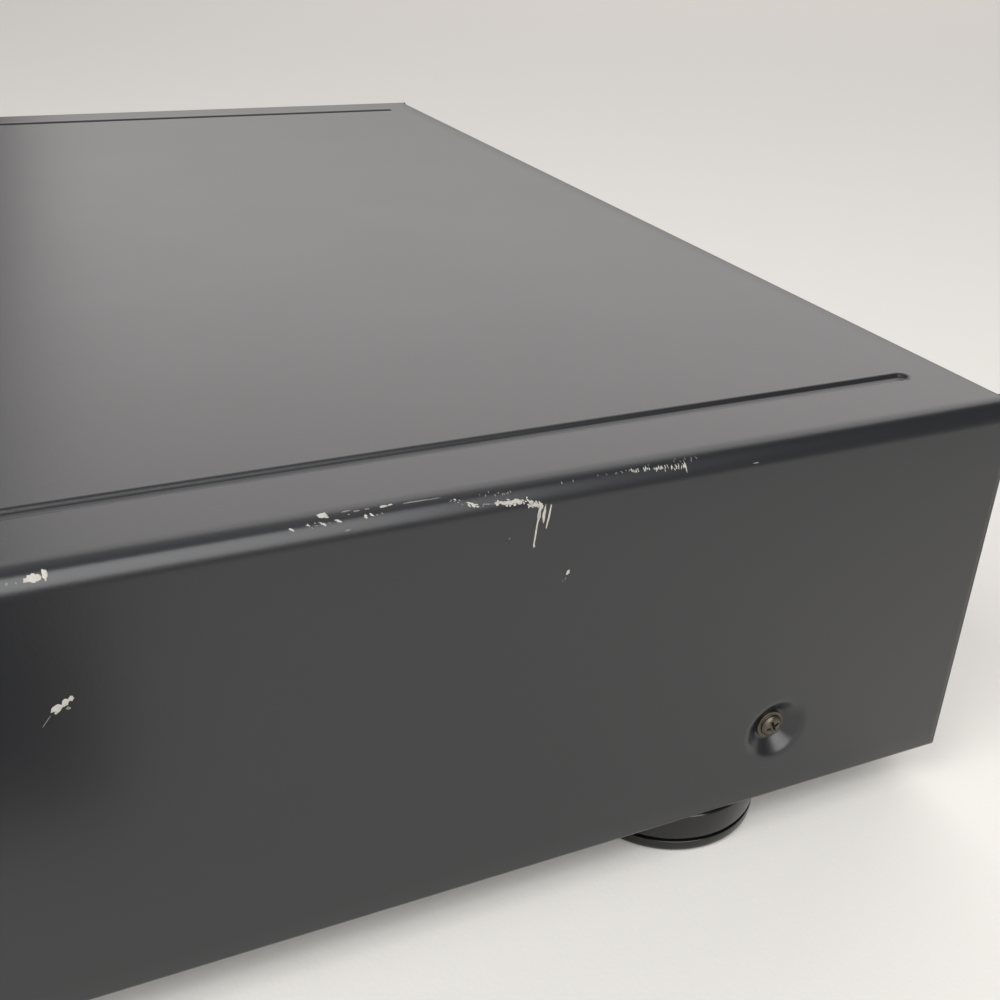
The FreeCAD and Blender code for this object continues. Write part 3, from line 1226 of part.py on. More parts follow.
def make_loader_frame():
    """The frame that guides the drawer: two walls, guides, cross beams and the gear's shelf."""
    y = (f"{FRONT} + frame_front", f"{FRONT} + frame_back")
    beam_z = (f"{BASE} + beam_level", f"{BASE} + beam_level + beam_height")
    added, cut = [], []
    for sign in ("-1", "1"):
        wall_x = (f"-{WALL_OUTSIDE}", f"-{WALL_INSIDE}") if sign == "-1" else (WALL_INSIDE, WALL_OUTSIDE)
        guide = f"({TRAY_SIDE} + rail_slip)"
        guide_x = (f"-{WALL_INSIDE}", f"-{guide}") if sign == "-1" else (guide, WALL_INSIDE)
        added.append(block("frame_wall", wall_x, y, (FLOOR, WALL_TOP)))
        low_top = f"({RAIL_LOW} - play)"
        added.append(block("lower_guide", guide_x, y, (f"{low_top} - guide_thickness", low_top)))
        high_low = f"({RAIL_LOW} + rail_thickness + play)"
        added.append(block("upper_guide", guide_x, y, (high_low, f"{high_low} + upper_guide_thickness")))
        for step in range(3):
            start = f"{FRONT} + 100 + 80 * {step}"
            cut.append(block("wall_relief", wall_x, (start, f"{start} + 55"),
                             (f"{BASE} + 27", f"{BASE} + 47")))
    added.append(block("front_beam", (f"-{WALL_INSIDE}", WALL_INSIDE), (y[0], f"{y[0]} + beam_depth"),
                       beam_z))
    added.append(block("rear_beam", (f"-{WALL_INSIDE}", WALL_INSIDE), (f"{y[1]} - beam_depth", y[1]),
                       beam_z))
    shelf_y = spread(LOADING_Y, "shelf_half")
    added.append(block("gear_shelf", (f"shelf_left - {SIDE}", "shelf_right"), shelf_y,
                       (SHELF_LOW, SHELF_TOP)))
    cut.append(block("gear_window", (f"-{WALL_OUTSIDE} - 1", f"-{WALL_INSIDE} + 1"), shelf_y,
                     (SHELF_TOP, f"{RAIL_LOW} - play - guide_thickness - play")))
    cut.append(rod("motor_hole", "motor_boss + play", ("loading_motor_x", LOADING_Y),
                   (f"{SHELF_LOW} - 1", f"{SHELF_TOP} + 1")))
    pin = rod("gear_pin", "axle_radius", (LOADING_X, LOADING_Y),
              (SHELF_TOP, f"{TRAY_LOW} + rack_level + rack_height"))
    piece("loader_frame", union("loader", without("loader_cut", union("loader_solid", *added), *cut), pin))


# --------------------------------------------------------------------------
# Carousel and its drive
# --------------------------------------------------------------------------
def make_carousel():
    """The carousel: five stepped pockets, each with a slot for the lift, round a raised hub."""
    top = "carousel_plate"
    hub_low = "-(ring_height + 0.8)"
    body = union(
        "carousel_solid",
        rod("carousel_disc", "carousel_radius", ("0", "0"), ("0", top)),
        rod("carousel_hub", "hub_radius", ("0", "0"), ("0", f"{top} + hub_rise")),
        rod("carousel_boss", "hub_boss", ("0", "0"), (hub_low, top)),
    )
    cut = [rod("carousel_bore", "post_radius + bore_play", ("0", "0"),
               (f"{hub_low} - 1", "carousel_plate + hub_rise + 1"))]
    for pocket in range(5):
        corner = "(slot_half / 3)"
        far = f"(slot_reach - {corner})"
        slot_z = ("-1", f"{top} + 1")
        middle = "pocket_circle"
        slot_y = (f"{middle} - slot_half", f"{middle} + slot_half")
        tool = union(
            f"pocket_{pocket + 1}",
            rod("pocket_floor", "pocket_radius", ("0", middle), (f"{top} - pocket_depth", f"{top} + 1")),
            rod("slot_round", "slot_half", ("0", middle), slot_z),
            block("slot_run", ("0", far), slot_y, slot_z),
            block("slot_end", (far, "slot_reach"), (f"{slot_y[0]} + {corner}", f"{slot_y[1]} - {corner}"),
                  slot_z),
            rod("slot_corner", corner, (far, f"{slot_y[0]} + {corner}"), slot_z),
            rod("slot_corner", corner, (far, f"{slot_y[1]} - {corner}"), slot_z),
        )
        tool.Placement = FreeCAD.Placement(Vector(), FreeCAD.Rotation(Vector(0, 0, 1), 72 * pocket))
        cut.append(tool)
    piece("carousel", move(without("carousel_cut", body, *cut), "0", CENTRE, CAROUSEL_LOW))


def make_carousel_drive():
    """The ring gear under the carousel, its pinion, belt and motor, and the cap on the post."""
    ring_low = f"({CAROUSEL_LOW} - ring_height)"
    ring = gear("ring_teeth_body", "ring_teeth", 0, "0", CENTRE, ring_low, CAROUSEL_LOW)
    hole = rod("ring_hole", "ring_bore", ("0", CENTRE), (f"{ring_low} - 1", f"{CAROUSEL_LOW} + 1"))
    piece("carousel_gear", without("ring_gear", ring, hole))
    cap_low = f"({TRAY_HIGH} + hub_rise + play)"
    piece("hub_cap", turned("hub_cap_turned", [
        ("0", "0"), ("cap_radius", "0"), ("cap_radius", "cap_height - cap_dome"),
        ("cap_radius - 2 * cap_dome", "cap_height"), ("0", "cap_height"),
    ], "0", CENTRE, cap_low))
    gear_low = f"({TRAY_PULLEY} + {PULLEY_HEIGHT})"
    gear_high = f"({CAROUSEL_LOW} - 0.5)"
    first = 180 / number("pinion_teeth")
    pinion = union(
        "pinion_solid",
        turned("pinion_pulley_turned",
               pulley_profile("pinion_pulley", "axle_radius + 1", "0.01")[3:] + [("0", "0")],
               PINION_X, CENTRE, TRAY_PULLEY),
        gear("pinion_teeth_ring", "pinion_teeth", first, PINION_X, CENTRE, gear_low, gear_high),
    )
    bore = rod("pinion_bore", "axle_radius + bore_play", (PINION_X, CENTRE), (TRAY_LOW, CAROUSEL_LOW))
    piece("carousel_pinion", without("pinion", pinion, bore))
    piece("carousel_motor",
          motor("carousel_motor_body", "motor_radius", "motor_length", "motor_boss_height",
                                  "carousel_motor_x", CAROUSEL_MOTOR_Y, TRAY_LOW, "+z"))
    reach = "(shaft_depth + tray_floor)"
    pulley = turned("carousel_motor_pulley_turned", pulley_profile("motor_pulley", "motor_shaft", reach),
                    "carousel_motor_x", CAROUSEL_MOTOR_Y, TRAY_PULLEY)
    piece("carousel_motor_pulley", pulley)
    piece("carousel_belt", belt("carousel_belt_loop", (PINION_X, CENTRE, "pinion_pulley"),
                                ("carousel_motor_x", CAROUSEL_MOTOR_Y, "motor_pulley"), TRAY_PULLEY))


# --------------------------------------------------------------------------
# Lift, spindle, pickup and clamp
# --------------------------------------------------------------------------
def make_carriage():
    """The lift carriage: a plate with skirts, four pins, the pickup's window and rod holders."""
    plate_x = ("-carriage_left", "carriage_right")
    y = spread(SPINDLE, "carriage_half")
    added = [block("carriage_sheet", plate_x, y, (CARRIAGE_LOW, CARRIAGE_TOP))]
    skirt_x = ("-carriage_left + 6", "carriage_right - 6")
    skirt_z = (f"{CARRIAGE_LOW} - skirt_height", CARRIAGE_LOW)
    added.append(block("skirt_front", skirt_x, (y[0], f"{y[0]} + skirt_thickness"), skirt_z))
    added.append(block("skirt_rear", skirt_x, (f"{y[1]} - skirt_thickness", y[1]), skirt_z))
    rod_z = f"({CARRIAGE_TOP} - rod_drop)"
    screw_z = f"({CARRIAGE_TOP} - screw_drop)"
    screw_y = f"({SPINDLE} + screw_offset)"
    cut = [
        block("pickup_window", ("window_left", "window_right"), spread(SPINDLE, "window_half"),
              (f"{CARRIAGE_LOW} - 1", f"{CARRIAGE_TOP} + 1")),
        rod("spindle_hole", "motor_boss + play", ("0", SPINDLE),
            (f"{CARRIAGE_LOW} - 1", f"{CARRIAGE_TOP} + 1")),
    ]
    for start in ("holder_left", "holder_right"):
        x = (start, f"{start} + holder_width")
        added.append(block("rod_holder", x, spread(f"({SPINDLE} - rod_offset)", "holder_half"),
                           (f"{rod_z} - holder_half", CARRIAGE_LOW)))
        added.append(block("screw_holder", x,
                           (f"{screw_y} - holder_half", f"{SPINDLE} + rod_offset + holder_half"),
                           (f"{screw_z} - 3.5", CARRIAGE_LOW)))
    for sign in ("-", "+"):
        place = (f"{SPINDLE} {sign} rod_offset", rod_z)
        cut.append(rod("rod_socket", "rod_radius + bore_play", place,
                       ("holder_left + 1", "holder_right + 3"), "x"))
        inside = f"{SPINDLE} {sign} carriage_half"
        outside = f"{SPINDLE} {sign} {GUIDE_OUTSIDE}"
        span = (outside, inside) if sign == "-" else (inside, outside)
        for x in ("pin_left", "pin_right"):
            added.append(rod("lift_pin", "pin_radius", (x, PIN_LEVEL), span, "y"))
    cut.append(rod("screw_hole", "sled_screw_radius + play", (screw_y, screw_z),
                   ("holder_left - 1", "holder_right - 1"), "x"))
    cut.append(rod("screw_socket", "sled_screw_radius + bore_play", (screw_y, screw_z),
                   ("holder_right - 1", "holder_right + 3"), "x"))
    piece("lift_carriage", without("carriage", union("carriage_solid", *added), *cut))


def make_lift_cam():
    """The sliding cam: two side plates with sloping slots that carry the pins, joined below."""
    x = ("-cam_left", "cam_right")
    z = (f"{BASE} + cam_low", f"{BASE} + cam_high")
    slope = "sqrt(cam_travel * cam_travel + lift_travel * lift_travel)"
    half = "(pin_radius + play)"
    across = f"({half} * lift_travel / {slope})"
    upward = f"({half} * cam_travel / {slope})"
    added, cut = [], []
    for sign in ("-", "+"):
        inner = f"{SPINDLE} {sign} {CAM_INSIDE}"
        outer = f"{SPINDLE} {sign} {CAM_OUTSIDE}"
        y = (outer, inner) if sign == "-" else (inner, outer)
        added.append(block("cam_side", x, y, z))
        for pin in ("pin_left", "pin_right"):
            end_x, end_z = f"{pin} + cam_travel", f"{PIN_LEVEL} + lift_travel"
            corners = [
                (f"{pin} - {across}", f"{PIN_LEVEL} + {upward}"),
                (f"{pin} + {across}", f"{PIN_LEVEL} - {upward}"),
                (f"{end_x} + {across}", f"{end_z} - {upward}"),
                (f"{end_x} - {across}", f"{end_z} + {upward}"),
            ]
            cut.append(plate("cam_slot", "XZ_Plane", corners, f"{y[0]} - 1", f"{y[1]} + 1"))
            for place in ((pin, PIN_LEVEL), (end_x, end_z)):
                cut.append(rod("cam_slot_end", half, place, (f"{y[0]} - 1", f"{y[1]} + 1"), "y"))
    tie_z = (z[0], f"{z[0]} + cam_plate")
    added.append(block("cam_tie_plate", ("-cam_left", "cam_tie - cam_left"), spread(SPINDLE, CAM_OUTSIDE),
                       tie_z))
    piece("lift_cam", without("cam", union("cam_solid", *added), *cut))


def make_lift_frame():
    """The lift's guides: upright slots that keep the carriage level, and ledges under the cam."""
    x = ("-guide_left", "guide_right")
    half = "(pin_radius + play)"
    added, cut, feet = [], [], []
    for sign in ("-", "+"):
        inner = f"{SPINDLE} {sign} {GUIDE_INSIDE}"
        outer = f"{SPINDLE} {sign} {GUIDE_OUTSIDE}"
        foot = f"{outer} {sign} 8"
        ledge = f"{SPINDLE} {sign} {CAM_INSIDE}"
        y, foot_y, ledge_y = [
            (b, a) if sign == "-" else (a, b) for a, b in ((inner, outer), (outer, foot), (ledge, inner))
        ]
        added.append(block("guide_plate", x, y, (FLOOR, f"{TRAY_LOW} - 1")))
        feet.append(foot_y)
        added.append(block("cam_ledge", x, ledge_y,
                           (f"{BASE} + cam_low - play - 3", f"{BASE} + cam_low - play")))
        for pin in ("pin_left", "pin_right"):
            span = (f"{y[0]} - 1", f"{y[1]} + 1")
            cut.append(block("guide_slot", spread(pin, half), span,
                             (PIN_LEVEL, f"{PIN_LEVEL} + lift_travel")))
            for level in (PIN_LEVEL, f"{PIN_LEVEL} + lift_travel"):
                cut.append(rod("guide_slot_end", half, (pin, level), span, "y"))
    added.append(block("guide_base", x, (feet[0][0], feet[1][1]), (FLOOR, f"{FLOOR} + 2")))
    piece("lift_frame", without("lift_guides", union("lift_guides_solid", *added), *cut))


def make_spindle():
    """The spindle motor under the carriage, and the disc table with its centring cone."""
    piece("spindle_motor",
          motor("spindle_motor_body", "motor_radius", "spindle_motor_length", "motor_boss_height",
                                 "0", SPINDLE, CARRIAGE_LOW, "+z"))
    shaft_low = "-(carriage_drop + carriage_plate + shaft_depth - play)"
    hub_low = "-(carriage_drop - 0.5)"
    piece("disc_table", turned("disc_table_turned", [
        ("0", shaft_low), ("motor_shaft", shaft_low), ("motor_shaft", hub_low), ("table_hub", hub_low),
        ("table_hub", "-table_thickness"), ("table_radius", "-table_thickness"), ("table_radius", "0"),
        ("cone_radius", "0"), ("cone_tip", "cone_height"), ("0", "cone_height"),
    ], "0", SPINDLE, TABLE_TOP))


def make_sled():
    """The pickup on its two rods, and the screw and motor that move it."""
    rod_z = f"({CARRIAGE_TOP} - rod_drop)"
    screw_z = f"({CARRIAGE_TOP} - screw_drop)"
    screw_y = f"({SPINDLE} + screw_offset)"
    rods = [rod("sled_rod", "rod_radius", (f"{SPINDLE} {sign} rod_offset", rod_z),
                ("holder_left + 1", "holder_right + 3"), "x") for sign in ("-", "+")]
    piece("sled_rods", group("sled_rod_pair", *rods))
    case = rod("sled_motor_can", "sled_motor_radius", (screw_y, screw_z),
               ("holder_left - sled_motor_length", "holder_left"), "x")
    bore = rod("sled_motor_bore", "motor_shaft + bore_play", (screw_y, screw_z),
               ("holder_left - shaft_depth", "holder_left + 1"), "x")
    piece("sled_motor", without("sled_motor_body", case, bore))
    length = "(holder_right + 3 - holder_left - 2 * play)"
    screw_body = turned("sled_screw_turned", [
        ("0", "-(shaft_depth - play)"), ("motor_shaft", "-(shaft_depth - play)"), ("motor_shaft", "play"),
        ("sled_screw_radius", "play"), ("sled_screw_radius", length), ("0", length),
    ], "holder_left", screw_y, screw_z, "+x")
    flat = block("sled_screw_notch", ("holder_right - 2", "holder_right - 1"), spread(screw_y, "2"),
                 (f"{screw_z} + 0.9", f"{screw_z} + 2"))
    piece("sled_screw", without("sled_screw_cut", screw_body, flat))
    top = f"({CARRIAGE_TOP} - pickup_gap)"
    turret_top = f"({CARRIAGE_TOP} + turret_rise)"
    body = union(
        "pickup_solid",
        block("pickup_body", spread("lens_start", "pickup_half"), spread(SPINDLE, "pickup_reach"),
              (f"{top} - pickup_height", top)),
        block("pickup_turret", spread("lens_start", "turret_half"), spread(SPINDLE, "turret_reach"),
              (top, turret_top)),
        rod("pickup_lens", "lens_radius", ("lens_start", SPINDLE),
            (turret_top, f"{turret_top} + lens_rise")),
    )
    across = ("lens_start - pickup_half - 1", "lens_start + pickup_half + 1")
    cut = [rod("pickup_rod_bore", "rod_radius + bore_play", (f"{SPINDLE} {sign} rod_offset", rod_z),
               across, "x")
           for sign in ("-", "+")]
    cut.append(rod("pickup_screw_bore", "sled_screw_radius + bore_play", (screw_y, screw_z), across, "x"))
    piece("optical_pickup", without("pickup", body, *cut))


def make_clamp():
    """The bridge over the drawer, and the puck that hangs in it and presses on the disc."""
    y = spread(SPINDLE, "bridge_half")
    added = [block("bridge_sheet", (f"-{WALL_OUTSIDE}", WALL_OUTSIDE), y, (BRIDGE_LOW, BRIDGE_TOP))]
    added.append(block("bridge_left", (f"-{WALL_OUTSIDE}", f"-{WALL_INSIDE}"), y, (WALL_TOP, BRIDGE_LOW)))
    added.append(block("bridge_right", (WALL_INSIDE, WALL_OUTSIDE), y, (WALL_TOP, BRIDGE_LOW)))
    for sign in ("-", "+"):
        edge = f"({SPINDLE} {sign} bridge_half)"
        rib = (edge, f"{edge} + 1.5") if sign == "-" else (f"{edge} - 1.5", edge)
        added.append(block("bridge_rib", (f"-{WALL_OUTSIDE}", WALL_OUTSIDE), rib,
                           (BRIDGE_TOP, f"{BRIDGE_TOP} + 4")))
    hole = rod("bridge_hole", "bridge_bore", ("0", SPINDLE), (f"{BRIDGE_LOW} - 1", f"{BRIDGE_TOP} + 1"))
    piece("clamp_bridge", without("bridge", union("bridge_solid", *added), hole))
    rise = f"({BRIDGE_LOW} - {PUCK_LOW})"
    cone_room = "(cone_height - disc_thickness - clamp_gap + 0.8)"
    hang = f"({rise} + bridge_thickness + play)"
    piece("clamp_puck", turned("clamp_puck_turned", [
        ("0", cone_room), ("cone_radius + 1", cone_room), ("cone_radius + 1", "0"), ("puck_radius", "0"),
        ("puck_radius", "puck_pad"), ("puck_body", "puck_pad"), ("puck_body", f"{rise} - 1"),
        ("puck_neck", f"{rise} - 1"), ("puck_neck", hang), ("puck_flange", hang),
        ("puck_flange", f"{hang} + 1.5"), ("0", f"{hang} + 1.5"),
    ], "0", SPINDLE, PUCK_LOW))


# --------------------------------------------------------------------------
# Electronics
# --------------------------------------------------------------------------
def make_main_board():
    """The main board on its standoffs, with its larger components."""
    board_low = f"({FLOOR} + standoff)"
    board_top = f"({board_low} + board_thickness)"
    front = f"({FRONT} + main_board_front)"
    board = block("main_circuit", ("main_board_left", "main_board_right"),
                  (front, f"{front} + main_board_length"),
                  (board_low, board_top))
    parts = [board]
    chips = ((40, 60, 28, 28, 3), (85, 60, 20, 12, 4), (135, 40, 14, 8, 3), (190, 70, 24, 14, 4),
             (215, 120, 16, 8, 3))
    for across, back, wide, deep, high in chips:
        x = f"main_board_left + {across}"
        y = f"{front} + {back}"
        parts.append(block("chip", (x, f"{x} + {wide}"), (y, f"{y} + {deep}"),
                           (board_top, f"{board_top} + {high}")))
    sink_x = "main_board_left + 25"
    for fin in range(5):
        y = f"{front} + 120 + {fin} * 6"
        parts.append(block("heat_sink_fin", (sink_x, f"{sink_x} + 30"), (y, f"{y} + 1.5"),
                           (board_top, f"{board_top} + 22")))
    sink_end = f"{front} + 145.5"
    parts.append(block("heat_sink_web", (sink_x, f"{sink_x} + 2"), (f"{front} + 120", sink_end),
                       (board_top, f"{board_top} + 22")))
    cans = ((90, 130, 8, 22), (112, 130, 8, 22), (132, 130, 5, 12), (150, 95, 4, 9), (165, 110, 4, 9),
            (240, 40, 5, 12))
    for across, back, radius, high in cans:
        place = (f"main_board_left + {across}", f"{front} + {back}")
        parts.append(rod("capacitor", radius, place, (board_top, f"{board_top} + {high}")))
    piece("main_board", union("main_board_solid", *parts))


def make_transformer():
    """The power transformer: a laminated core with feet, and the coil that shows at both ends."""
    x, y = "transformer_x", f"({FRONT} + transformer_back)"
    top = f"{FLOOR} + transformer_height"
    core = block("core", spread(x, "transformer_width / 2"), spread(y, "transformer_length / 2"),
                 (FLOOR, top))
    coil = block("coil", spread(x, "coil_width / 2"), spread(y, "transformer_length / 2 + coil_swell"),
                 (f"{FLOOR} + 8", f"{top} - 8"))
    feet = block("core_feet", spread(x, "transformer_width / 2"),
                 spread(y, "transformer_length / 2 + frame_foot"),
                 (FLOOR, f"{FLOOR} + 1.5"))
    piece("power_transformer", union("transformer", core, coil, feet))


def main():
    make_top_cover()
    make_base()
    make_rear_panel()
    for node, (x, y) in FEET.items():
        make_foot(node, x, y)
    make_screws()
    make_jacks()
    make_inlet()
    make_front_panel()
    make_display()
    make_front_board()
    make_phones()
    make_knob()
    for node, place in KEYS.items():
        make_button(node, *place)
    make_tray()
    make_loading_drive()
    make_loader_frame()
    make_carousel()
    make_carousel_drive()
    make_carriage()
    make_lift_cam()
    make_lift_frame()
    make_spindle()
    make_sled()
    make_clamp()
    make_main_board()
    make_transformer()
    doc.recompute()
    for item in doc.Objects:
        if {"Invalid", "Error"} & set(item.State):
            raise RuntimeError(f"{item.Name} is {item.State}")
    for node, item in PIECES.items():
        if item.Shape.isNull() or not item.Shape.isValid():
            raise RuntimeError(f"{node} has no valid shape")
    os.makedirs("parts", exist_ok=True)
    for node, item in PIECES.items():
        item.Shape.exportStep(f"parts/{node}.step")


main()
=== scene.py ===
"""Dresses a five-disc CD changer: a folded, enamelled steel cover over a moulded front, drawer and lift.

Sizes are in millimetres in the code and in metres in the meshes; +X right, +Y rear, +Z up.
"""

import logging
import math
from collections.abc import Sequence
from dataclasses import dataclass, field
from enum import Enum

import bmesh
import bpy
import numpy as np
from mathutils import Matrix
from numpy.typing import NDArray


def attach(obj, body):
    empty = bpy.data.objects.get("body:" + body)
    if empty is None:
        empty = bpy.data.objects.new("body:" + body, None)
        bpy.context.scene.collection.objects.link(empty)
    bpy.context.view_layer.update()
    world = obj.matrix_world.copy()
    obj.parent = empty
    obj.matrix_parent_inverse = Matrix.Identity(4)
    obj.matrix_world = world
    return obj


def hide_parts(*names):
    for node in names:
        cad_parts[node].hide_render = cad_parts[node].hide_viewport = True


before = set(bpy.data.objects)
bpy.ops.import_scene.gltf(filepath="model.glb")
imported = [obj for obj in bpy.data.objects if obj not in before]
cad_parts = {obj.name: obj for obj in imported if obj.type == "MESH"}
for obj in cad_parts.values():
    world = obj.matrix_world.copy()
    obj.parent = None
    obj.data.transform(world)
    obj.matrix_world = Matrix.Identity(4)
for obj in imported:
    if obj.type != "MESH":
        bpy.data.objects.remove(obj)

Array = NDArray[np.float64]
Colour = tuple[float, float, float, float]
Point = tuple[float, float, float]
MM = 0.001
MERGE = 2e-6
LOG = logging.getLogger("changer")


# ------------------------------------------------------------------ numbers and lines
def linear(code: str) -> Colour:
    """Turns an sRGB hex colour such as "#1b1b1c" into linear red, green, blue and alpha."""
    parts = np.array([int(code[k:k + 2], 16) for k in (1, 3, 5)]) / 255
    curve = np.where(parts <= 0.04045, parts / 12.92, ((parts + 0.055) / 1.055) ** 2.4)
    red, green, blue = curve.tolist()
    return red, green, blue, 1.0


def ease(t: Array) -> Array:
    """Goes from 0 to 1 with level ends: 3 t squared minus 2 t cubed."""
    t = np.clip(t, 0, 1)
    return t * t * (3 - 2 * t)


def lines(*runs: tuple[float, float, int]) -> Array:
    """Joins evenly divided runs (start, end, cells) into one rising list of grid lines."""
    return np.unique(np.round(np.concatenate([np.linspace(a, b, n + 1) for a, b, n in runs]), 6))


def arc(x: float, y: float, radius: float, start: float, end: float, steps: int = 12) -> Array:
    """Points on a circle: centre plus radius times (cos a, sin a), a in degrees from start to end."""
    angle = np.radians(np.linspace(start, end, steps + 1))
    return np.stack([x + radius * np.cos(angle), y + radius * np.sin(angle)], -1)


def softened(corners: Sequence[tuple[float, float]], radii: Sequence[float], steps: int = 4) -> Array:
    """Rounds the inner corners of a line with parabolas.

    Each runs from one radius before the corner to one after it: (1-t)^2 a + 2t(1-t) corner + t^2 b.

    Args:
        corners: the line's points.
        radii: how far each inner corner is cut back; 0 keeps it sharp.
        steps: pieces in each rounded corner.

    Returns:
        The new line, one row per point.
    """
    line = np.array(corners, float)
    t = np.linspace(0, 1, steps + 1)[:, None]
    parts = [line[:1]]
    for before, corner, after, radius in zip(line, line[1:], line[2:], radii):
        if radius == 0:
            parts.append(corner[None])
            continue
        a = corner + (before - corner) / np.linalg.norm(before - corner) * radius
        b = corner + (after - corner) / np.linalg.norm(after - corner) * radius
        parts.append((1 - t) ** 2 * a + 2 * t * (1 - t) * corner + t ** 2 * b)
    return np.concatenate([*parts, line[-1:]])


# ------------------------------------------------------------------ surfaces on a grid
def turned(profile: Array, sides: int = 64) -> Array:
    """Turns (radius, height) rows round the z axis: (r cos a, r sin a, h) for each angle a."""
    angle = np.linspace(0, 2 * np.pi, sides, endpoint=False)
    radius, height = profile[:, :1], profile[:, 1:]
    return np.stack([radius * np.cos(angle), radius * np.sin(angle), height + 0 * angle], -1)


def ribbon(path: Array, width: float | Sequence[float], depth: float) -> Array:
    """Lays a flat raised line along a path in a plane.

    Each path point gets a four-cornered section, half the width to each side along the mitre, from the
    plane up to the depth; both ends close on their middle.

    Args:
        path: points in the plane.
        width: the line's width, or one width per point.
        depth: how far the line stands above the plane.

    Returns:
        A grid (path point, section corner, xyz) whose second direction wraps.
    """
    run = np.diff(path, axis=0)
    normal = np.stack([-run[:, 1], run[:, 0]], -1) / np.linalg.norm(run, axis=1, keepdims=True)
    before = np.vstack([normal[:1], normal])
    mitre = before + np.vstack([normal, normal[-1:]])
    mitre /= np.sum(mitre * before, axis=1, keepdims=True)
    side = mitre * (np.broadcast_to(width, len(path)) / 2)[:, None]
    flat = np.stack([path - side, path + side, path + side, path - side], 1)
    height = np.broadcast_to([0.0, 0.0, depth, depth], flat.shape[:2])
    grid = np.concatenate([flat, height[..., None]], -1)
    middle = np.broadcast_to(grid.mean(1, keepdims=True), grid.shape)
    return np.concatenate([middle[:1], grid, middle[-1:]])


def placed(grid: Array, at: Sequence[float], across: Sequence[float], up: Sequence[float],
           out: Sequence[float]) -> Array:
    """Carries a grid's own x, y and z onto three directions from a point: at + x across + y up + z out."""
    return np.asarray(at, float) + grid @ np.array([across, up, out], float)


@dataclass
class Skin:
    """Gathers grids of points in millimetres and turns them into one piece."""

    points: list[Array] = field(default_factory=list)
    quads: list[Array] = field(default_factory=list)
    count: int = 0

    def add(self, grid: Array, around: bool = False, keep: Array | None = None) -> "Skin":
        """Adds a grid of points and a quad between each four neighbours.

        Args:
            grid: points[i, j] = (x, y, z).
            around: whether the second direction closes on itself.
            keep: which cells to fill, all of them if None.

        Returns:
            This skin, so that calls can follow one another.
        """
        index = np.arange(grid.shape[0] * grid.shape[1]).reshape(grid.shape[:2]) + self.count
        if around:
            index = np.hstack([index, index[:, :1]])
        cells = np.stack([index[:-1, :-1], index[1:, :-1], index[1:, 1:], index[:-1, 1:]], -1)
        self.quads.append(cells[keep] if keep is not None else cells.reshape(-1, 4))
        self.points.append(grid.reshape(-1, 3))
        self.count += grid.shape[0] * grid.shape[1]
        return self

    def piece(self, name: str, body: str, finish: "Finish", slot: str, replaced: Sequence[str] = (),
              sharp: float = 40, wall: float = 0) -> bpy.types.Object:
        """Merges the grids into one mesh that faces outwards, finishes it and fixes it to its body.

        Args:
            name: the piece's name.
            body: the body that it moves with.
            finish: what it is made of.
            slot: the record's material slot; not used.
            replaced: the CAD nodes that it stands for.
            sharp: edges over this many degrees stay crisp.
            wall: thickness of sheet that an open skin gets, inwards.

        Returns:
            The finished object.
        """
        mesh = bpy.data.meshes.new(name)
        mesh.from_pydata((np.vstack(self.points) * MM).tolist(), [], np.vstack(self.quads).tolist())
        work = bmesh.new()
        work.from_mesh(mesh)
        bmesh.ops.remove_doubles(work, verts=work.verts, dist=MERGE)
        bmesh.ops.recalc_face_normals(work, faces=work.faces)
        work.to_mesh(mesh)
        work.free()
        if wall:
            self.face_out(mesh)
        mesh.shade_smooth()
        mesh.set_sharp_from_angle(angle=math.radians(sharp))
        thing = bpy.data.objects.new(name, mesh)
        bpy.context.scene.collection.objects.link(thing)
        mesh.materials.append(finish.make())
        if wall:
            sheet = thing.modifiers.new("sheet", "SOLIDIFY")
            sheet.thickness, sheet.offset = wall * MM, -1
        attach(thing, body)
        if replaced:
            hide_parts(*replaced)
        LOG.info("%s: %d faces on %s", name, len(mesh.polygons), body)
        return thing

    @staticmethod
    def face_out(mesh: bpy.types.Mesh) -> None:
        """Flips an open skin whose normals, weighted by area, point at its own middle."""
        count = len(mesh.polygons)
        centre, normal, area = np.empty(count * 3), np.empty(count * 3), np.empty(count)
        mesh.polygons.foreach_get("center", centre)
        mesh.polygons.foreach_get("normal", normal)
        mesh.polygons.foreach_get("area", area)
        centre = centre.reshape(-1, 3)
        outward = np.sum((centre - centre.mean(0)) * normal.reshape(-1, 3), axis=1)
        if np.sum(outward * area) < 0:
            mesh.flip_normals()


# ------------------------------------------------------------------ finishes
class Recipe:
    """A material's node tree, filled one node at a time around one surface shader."""

    def __init__(self, name: str) -> None:
        """Starts the tree with the shader and Object coordinates."""
        self.material = bpy.data.materials.new(name)
        self.material.use_nodes = True
        self.tree = self.material.node_tree
        self.shader = self.tree.nodes["Principled BSDF"]
        self.place = self.add("TexCoord").outputs["Object"]

    def add(self, kind: str, sockets: dict | None = None, **settings: object) -> bpy.types.Node:
        """Adds a shader node.

        Args:
            kind: the node's type without its ShaderNode prefix.
            sockets: values or outputs for its inputs, by name or number.
            settings: the node's own properties.

        Returns:
            The new node.
        """
        node = self.tree.nodes.new("ShaderNode" + kind)
        for key, value in settings.items():
            setattr(node, key, value)
        self.fill(node, sockets or {})
        return node

    def fill(self, node: bpy.types.Node, sockets: dict) -> None:
        """Sets a node's inputs, or links them where the value is another node's output."""
        for key, value in sockets.items():
            if isinstance(value, bpy.types.NodeSocket):
                self.tree.links.new(value, node.inputs[key])
            else:
                node.inputs[key].default_value = value


